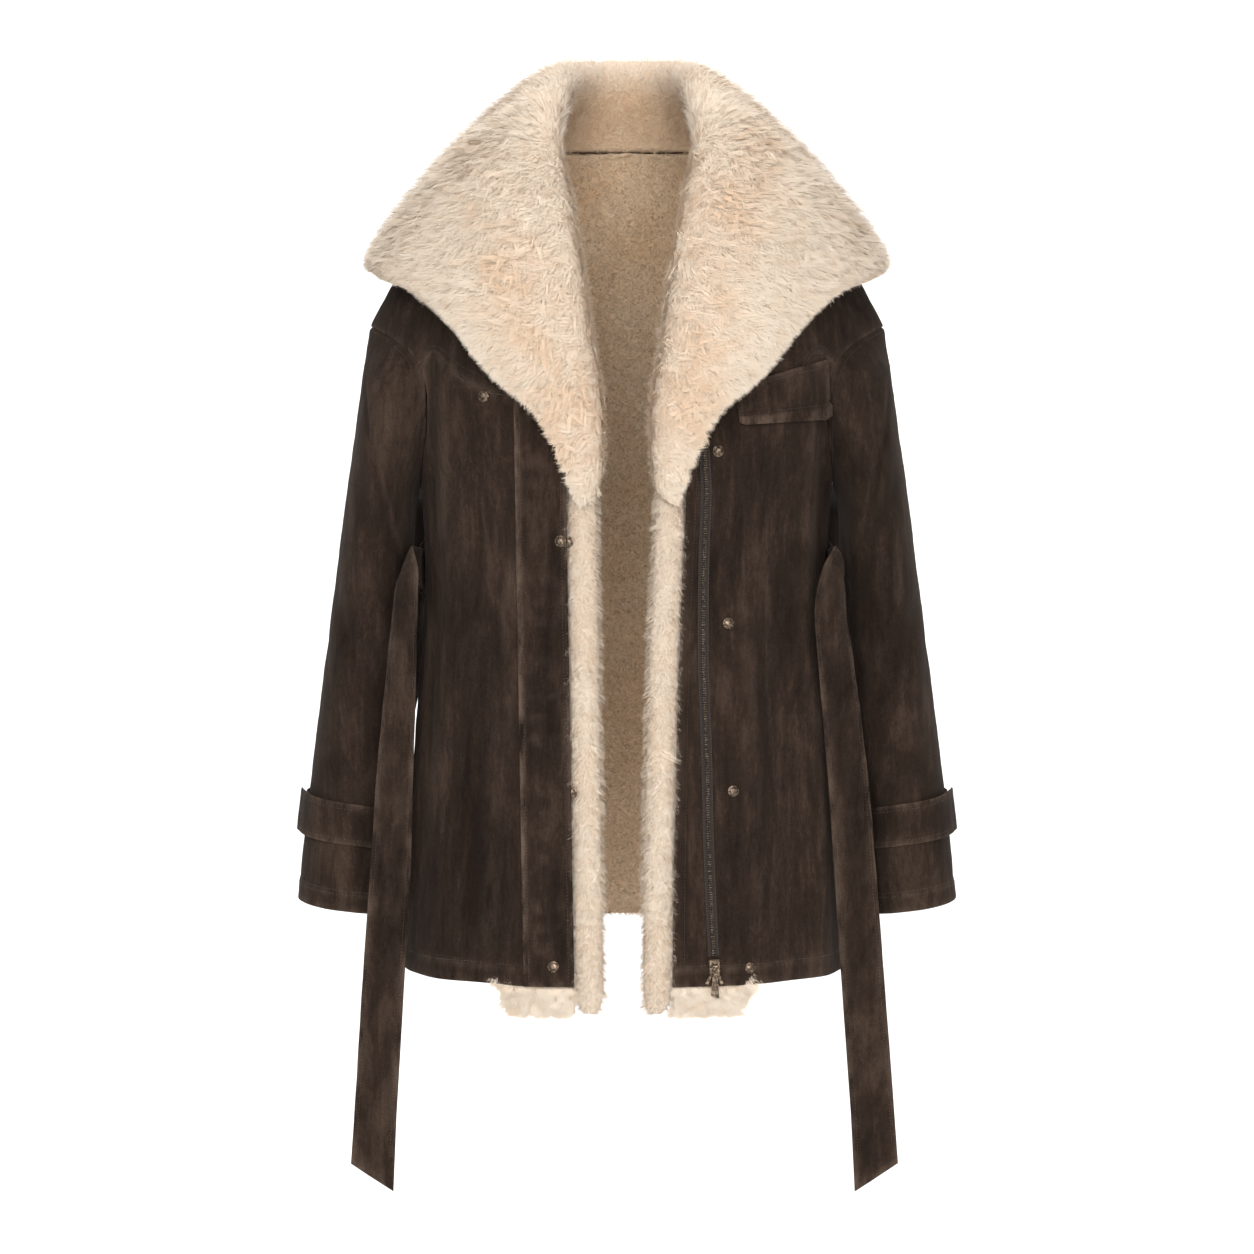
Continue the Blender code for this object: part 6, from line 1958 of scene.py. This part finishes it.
@dataclass
class Collar:
    """The wide fur collar, one piece from front edge to front edge, folded over at its crest."""

    wardrobe: Wardrobe
    skin: float = 0.003
    places: tuple = (0.0, 0.27, 0.62, 1.0)
    foot_reach: float = 0.30
    round_edge: float = 0.22
    edge_depth: float = 0.28
    round_end: float = 0.045
    end_depth: float = 0.40
    under: float = 0.72
    strands: tuple = (21000, 15000, 21000)
    flat: tuple = (1.30, 0.36)
    pile: Fleece = Fleece()
    fuzz: Fleece = Fleece(stand=0.58, sweep=0.52, sway=0.30, gather=(0.12, 0.70), curl=(0.0, 0.0),
                          stray=0.45, width=0.00042, uneven=0.20, times=(0.0, 1.0),
                          swell=(1.0, 0.0))
    # x, z, half width, half height and slant of the curly places seen from the front
    curly_places: tuple = (
        (-0.094, -0.150, 0.036, 0.115, -0.30), (0.094, -0.080, 0.036, 0.125, 0.28),
        (-0.055, -0.255, 0.030, 0.050, 0.0), (0.060, -0.240, 0.028, 0.050, 0.0),
    )
    # foot, crest, fall and edge, then the fur's depth and its depth at the foot
    stations: tuple = (
        (0.034, -0.1335, -0.334, 0.036, -0.1400, -0.337, 0.041, -0.1420, -0.340,
         0.047, -0.1400, -0.343, 0.012, 0.003),
        (0.043, -0.1340, -0.288, 0.037, -0.1435, -0.290, 0.050, -0.1470, -0.292,
         0.062, -0.1440, -0.297, 0.018, 0.003),
        (0.053, -0.1280, -0.235, 0.042, -0.1455, -0.238, 0.064, -0.1500, -0.243,
         0.088, -0.1460, -0.250, 0.022, 0.003),
        (0.062, -0.1190, -0.175, 0.052, -0.1440, -0.178, 0.088, -0.1490, -0.195,
         0.130, -0.1380, -0.214, 0.024, 0.003),
        (0.068, -0.1055, -0.115, 0.062, -0.1340, -0.114, 0.112, -0.1400, -0.142,
         0.172, -0.1210, -0.163, 0.025, 0.003),
        (0.075, -0.0848, -0.055, 0.074, -0.1110, -0.045, 0.135, -0.1180, -0.087,
         0.212, -0.0930, -0.131, 0.025, 0.004),
        (0.0832, -0.0468, 0.0040, 0.088, -0.0680, 0.030, 0.157, -0.0700, -0.017,
         0.253, -0.0500, -0.113, 0.025, 0.008),
        (0.087, 0.0020, 0.0300, 0.077, -0.0080, 0.082, 0.157, 0.0020, 0.026,
         0.2645, 0.0080, -0.098, 0.025, 0.011),
        (0.079, 0.0480, 0.0352, 0.066, 0.0480, 0.102, 0.133, 0.0740, 0.032,
         0.236, 0.0780, -0.106, 0.025, 0.012),
        (0.048, 0.0830, 0.0392, 0.038, 0.0900, 0.110, 0.078, 0.1280, 0.038,
         0.130, 0.1240, -0.130, 0.025, 0.012),
        (0.000, 0.0960, 0.0402, 0.000, 0.1030, 0.112, 0.000, 0.1430, 0.040,
         0.000, 0.1400, -0.142, 0.025, 0.012),
    )

    def sections(self, share: Array) -> Array:
        """Rows of the stations' numbers at shares along the collar, -1 and 1 at its ends."""
        rows = np.array(self.stations)
        beyond = rows[-2].copy()
        beyond[[0, 3, 6, 9]] *= -1
        rows = np.concatenate([rows, [beyond]])
        at = (1 - np.abs(share)) * (len(rows) - 2)
        found = curve(np.arange(len(rows)), rows, at)
        sign = np.where(share >= 0, 1.0, -1.0)
        found[..., [0, 3, 6, 9]] *= sign[..., None]
        return found

    def point(self, share: Array, over: Array) -> Array:
        """Point on the collar's skin: over is 0 at its foot and 1 at its outer edge."""
        share, over = np.broadcast_arrays(np.asarray(share, float), np.asarray(over, float))
        rows = self.sections(share)
        corners = rows[..., :12].reshape(*share.shape, 4, 3)
        knots = np.array(self.places)
        slopes = []
        for k in range(4):
            before, after = max(k - 1, 0), min(k + 1, 3)
            slopes.append((corners[..., after, :] - corners[..., before, :])
                          / (knots[after] - knots[before]))
        slopes = np.stack(slopes, axis=-2)
        index = np.clip(np.searchsorted(knots, over, side="left") - 1, 0, 2)
        span = (knots[index + 1] - knots[index])[..., None]
        t = (over - knots[index])[..., None] / span

        def pick(values: Array, which: Array) -> Array:
            return np.take_along_axis(values, which[..., None, None], axis=-2)[..., 0, :]

        return (pick(corners, index) * (1 + 2 * t) * (1 - t) ** 2
                + pick(corners, index + 1) * t * t * (3 - 2 * t)
                + pick(slopes, index) * span * t * (1 - t) ** 2
                + pick(slopes, index + 1) * span * t * t * (t - 1))

    def depth(self, share: Array, over: Array) -> Array:
        """Depth of the fur: thin at the foot, rounded at the edge and the ends."""
        rows = self.sections(share + 0 * over)
        to_edge = 1 - np.minimum((1 - over) / self.round_edge, 1.0)
        to_end = 1 - np.minimum((1 - np.abs(share)) / self.round_end, 1.0)
        edge = mix(self.edge_depth, 1.0, np.sqrt(1 - to_edge ** 2))
        end = mix(self.end_depth, 1.0, np.sqrt(1 - to_end ** 2))
        return mix(rows[..., 13], rows[..., 12], smooth(over / self.foot_reach)) * edge * end

    def shade(self, points: Array, over: Array) -> Array:
        """How far painted shade darkens the stand's fur behind the neck towards its foot, giving it the
        lining's colour.
        """
        return smooth((0.26 - over) / 0.14) * smooth((points[..., 1] + 0.06) / 0.08)

    def curls(self, points: Array) -> Array:
        """How curly the fur is at each point, from 0 to 1."""
        total = np.zeros(points.shape[:-1])
        for x, z, wide, tall, slant in self.curly_places:
            dx = points[..., 0] - x - slant * (points[..., 2] - z)
            total += np.exp(-(dx / wide) ** 2 - ((points[..., 2] - z) / tall) ** 2)
        total *= smooth(0.5 - points[..., 1] / 0.04)
        total += smooth((points[..., 1] - 0.02) / 0.03) * 0.35
        return smooth(total * (0.75 + 0.6 * ripple(points, 0.04, 14.0)))

    def build(self) -> None:
        """Skin with its dense underfur, and the strands in three pieces."""
        share = np.linspace(-1, 1, 221)[:, None]
        over = np.concatenate([np.linspace(-0.048, 0.9, 47), np.linspace(0.92, 1.0, 8)])[None]
        skin = self.point(share, over)
        normals = grid_normals(skin)
        if (normals[110, 40] @ np.array([0, 1.0, 0])) < 0:
            normals = -normals
        depth = self.depth(share, over)
        lumps = 1 + ripple(skin, 0.020, 8.0) * 0.10
        outer = skin + normals * (depth * self.under * lumps)[..., None]
        inner = skin - normals * self.skin
        rows, columns = skin.shape[:2]
        half = rows * columns
        top = grid_faces(rows, columns, False)
        low = grid_faces(rows, columns, False, half)[:, ::-1]
        rims = []
        for i in (0, rows - 1):
            j = np.arange(columns - 1)
            a, b = i * columns + j, i * columns + j + 1
            rim = np.stack([a, b, half + b, half + a], axis=1)
            rims.append(rim if i else rim[:, ::-1])
        for j in (0, columns - 1):
            i = np.arange(rows - 1)
            a, b = i * columns + j, (i + 1) * columns + j
            rim = np.stack([a, b, half + b, half + a], axis=1)
            rims.append(rim[:, ::-1] if j else rim)
        faces = np.concatenate([top, low, *rims])
        step = np.cross(outer[101, 30] - outer[100, 30], outer[100, 31] - outer[100, 30])
        if step @ normals[100, 30] > 0:
            faces = faces[:, ::-1]
        mesh = make_mesh("collar_body", np.concatenate([outer.reshape(-1, 3),
                                                        inner.reshape(-1, 3)]), faces)
        marks = np.zeros(len(faces), np.int32)
        marks[len(top):len(top) + len(low)] = 1
        mesh.polygons.foreach_set("material_index", marks)
        paint(mesh, "wear", np.concatenate([np.zeros(half),
                                            np.exp(-border_distance(skin) / 0.006).ravel()]))
        # painted shade on the stand's fur behind the neck
        paint(mesh, "shade", np.tile(self.shade(skin, over).ravel(), 2))
        piece = show("collar_body", mesh, [self.wardrobe.cream_under, self.wardrobe.suede],
                     ["collar"])
        wide, tall = across_grid(skin, False)
        down = unit(wide)
        lean = mix(-0.1, 1.0, smooth((over - 0.10) / 0.25))
        fall = np.array([0.0, 0.0, -1.0]) * 0.55
        flow = down * lean[..., None] + fall * smooth((over - 0.2) / 0.2)[..., None]
        swirl = ripple(skin, 0.09, 12.0)[..., None] * 0.5
        flow = unit(flow + unit(tall) * swirl)
        roots = skin + normals * (depth * 0.52)[..., None]
        long = np.maximum(depth, 0.010)
        curls = self.curls(skin)
        cuts = ((-1.01, -0.36), (-0.36, 0.36), (0.36, 1.01))
        names = ("right", "back", "left")
        for (start, end), name, count, seed in zip(cuts, names, self.strands, (41, 43, 47)):
            weight = np.where((share >= start) & (share < end), 1.0, 0.0) * np.ones_like(over)
            weight = weight * (1 + 0.6 * smooth((over - 0.85) / 0.15))
            hide = Hide(roots, normals, flow, long, weight, curls, self.shade(skin, over))
            for label, fleece, number in ((f"collar_{name}_strands", self.pile, count),
                                          (f"collar_{name}_fuzz", self.fuzz, int(count * 2.8))):
                show(label, fleece.grow(label, hide, number, seed), [self.wardrobe.cream_strands])


# ------------------------------------------------------------------ studio


@dataclass
class Studio:
    """Pale floor and backdrop, soft lights, and the camera at the photograph's angle."""

    camera_place: tuple = (0.0, -3.34, -0.34)
    camera_target: tuple = (0.0, -0.14, -0.467)
    frame_width: float = 1.254
    frame_distance: float = 3.2
    sensor: float = 36.0
    floor: float = -1.46
    wall: float = 4.7
    bend: float = 1.2
    lights: tuple = (
        ("key", (-0.6, -3.4, 0.9), (0.0, 0.0, -0.40), 1.6, 75.0),
        ("fill", (0.9, -3.6, -0.2), (0.0, 0.0, -0.45), 1.8, 60.0),
        ("top", (0.0, -0.6, 2.4), (0.0, 0.0, -0.2), 2.0, 30.0),
        ("wall", (0.0, 1.4, 2.4), (0.0, 4.7, -0.6), 2.4, 130.0),
    )

    def backdrop(self) -> None:
        """Floor that curves up far behind the coat."""
        profile = [(-6.0, self.floor)]
        profile += [(self.wall + self.bend * (math.sin(a) - 1), self.floor + self.bend * (1 - math.cos(a)))
                    for a in np.linspace(0, math.pi / 2, 16)]
        profile += [(self.wall, 5.0)]
        points = np.array([[(x, y, z) for x in (-6.0, 6.0)] for y, z in profile])
        mesh = make_mesh("backdrop", points.reshape(-1, 3), grid_faces(len(profile), 2, False))
        recipe = Recipe("backdrop")
        recipe.set(Roughness=0.9)
        tone = recipe.noise(3.0)
        recipe.link(recipe.ramp(tone, ((0.3, (0.93, 0.93, 0.93)), (0.7, (0.95, 0.95, 0.95)))),
                    recipe.shader.inputs["Base Color"])
        mesh.materials.append(recipe.material)
        piece = bpy.data.objects.new("backdrop", mesh)
        bpy.context.scene.collection.objects.link(piece)

    def aim(self, item: bpy.types.Object, place: tuple, target: tuple) -> None:
        """Put a camera or light somewhere and point it at something."""
        item.location = place
        item.rotation_euler = (Vector(target) - Vector(place)).to_track_quat("-Z", "Y").to_euler()
        bpy.context.scene.collection.objects.link(item)

    def build(self) -> None:
        """Backdrop, lights, surroundings and camera."""
        self.backdrop()
        for name, place, target, size, power_watts in self.lights:
            light = bpy.data.lights.new(name, "AREA")
            light.shape = "DISK"
            light.size = size
            light.energy = power_watts
            self.aim(bpy.data.objects.new(name, light), place, target)
        world = bpy.data.worlds.new("studio")
        world.use_nodes = True
        world.node_tree.nodes["Background"].inputs["Color"].default_value = (1.0, 1.0, 1.0, 1.0)
        world.node_tree.nodes["Background"].inputs["Strength"].default_value = 0.60
        bpy.context.scene.world = world
        bpy.context.scene.view_settings.view_transform = "Standard"
        camera = bpy.data.cameras.new("camera")
        camera.sensor_width = self.sensor
        camera.lens = self.sensor * self.frame_distance / self.frame_width
        item = bpy.data.objects.new("camera", camera)
        self.aim(item, self.camera_place, self.camera_target)
        bpy.context.scene.camera = item


def main() -> None:
    """Build the coat and its studio."""
    logging.basicConfig(level=logging.INFO, format="%(name)s %(message)s")
    form, wardrobe, sewing = BodyForm(), Wardrobe(), Sewing()
    Studio().build()
    SuedeBody(form, wardrobe, sewing).build()
    for side in Side:
        Sleeve(form, wardrobe, sewing, side).build()
    FrontTrim(form, wardrobe, sewing).build()
    Belt(form, wardrobe, sewing).build()
    sewing.build(wardrobe)
    FurTrim(form, wardrobe).build()
    Collar(wardrobe).build()


if __name__ == "__main__":
    main()
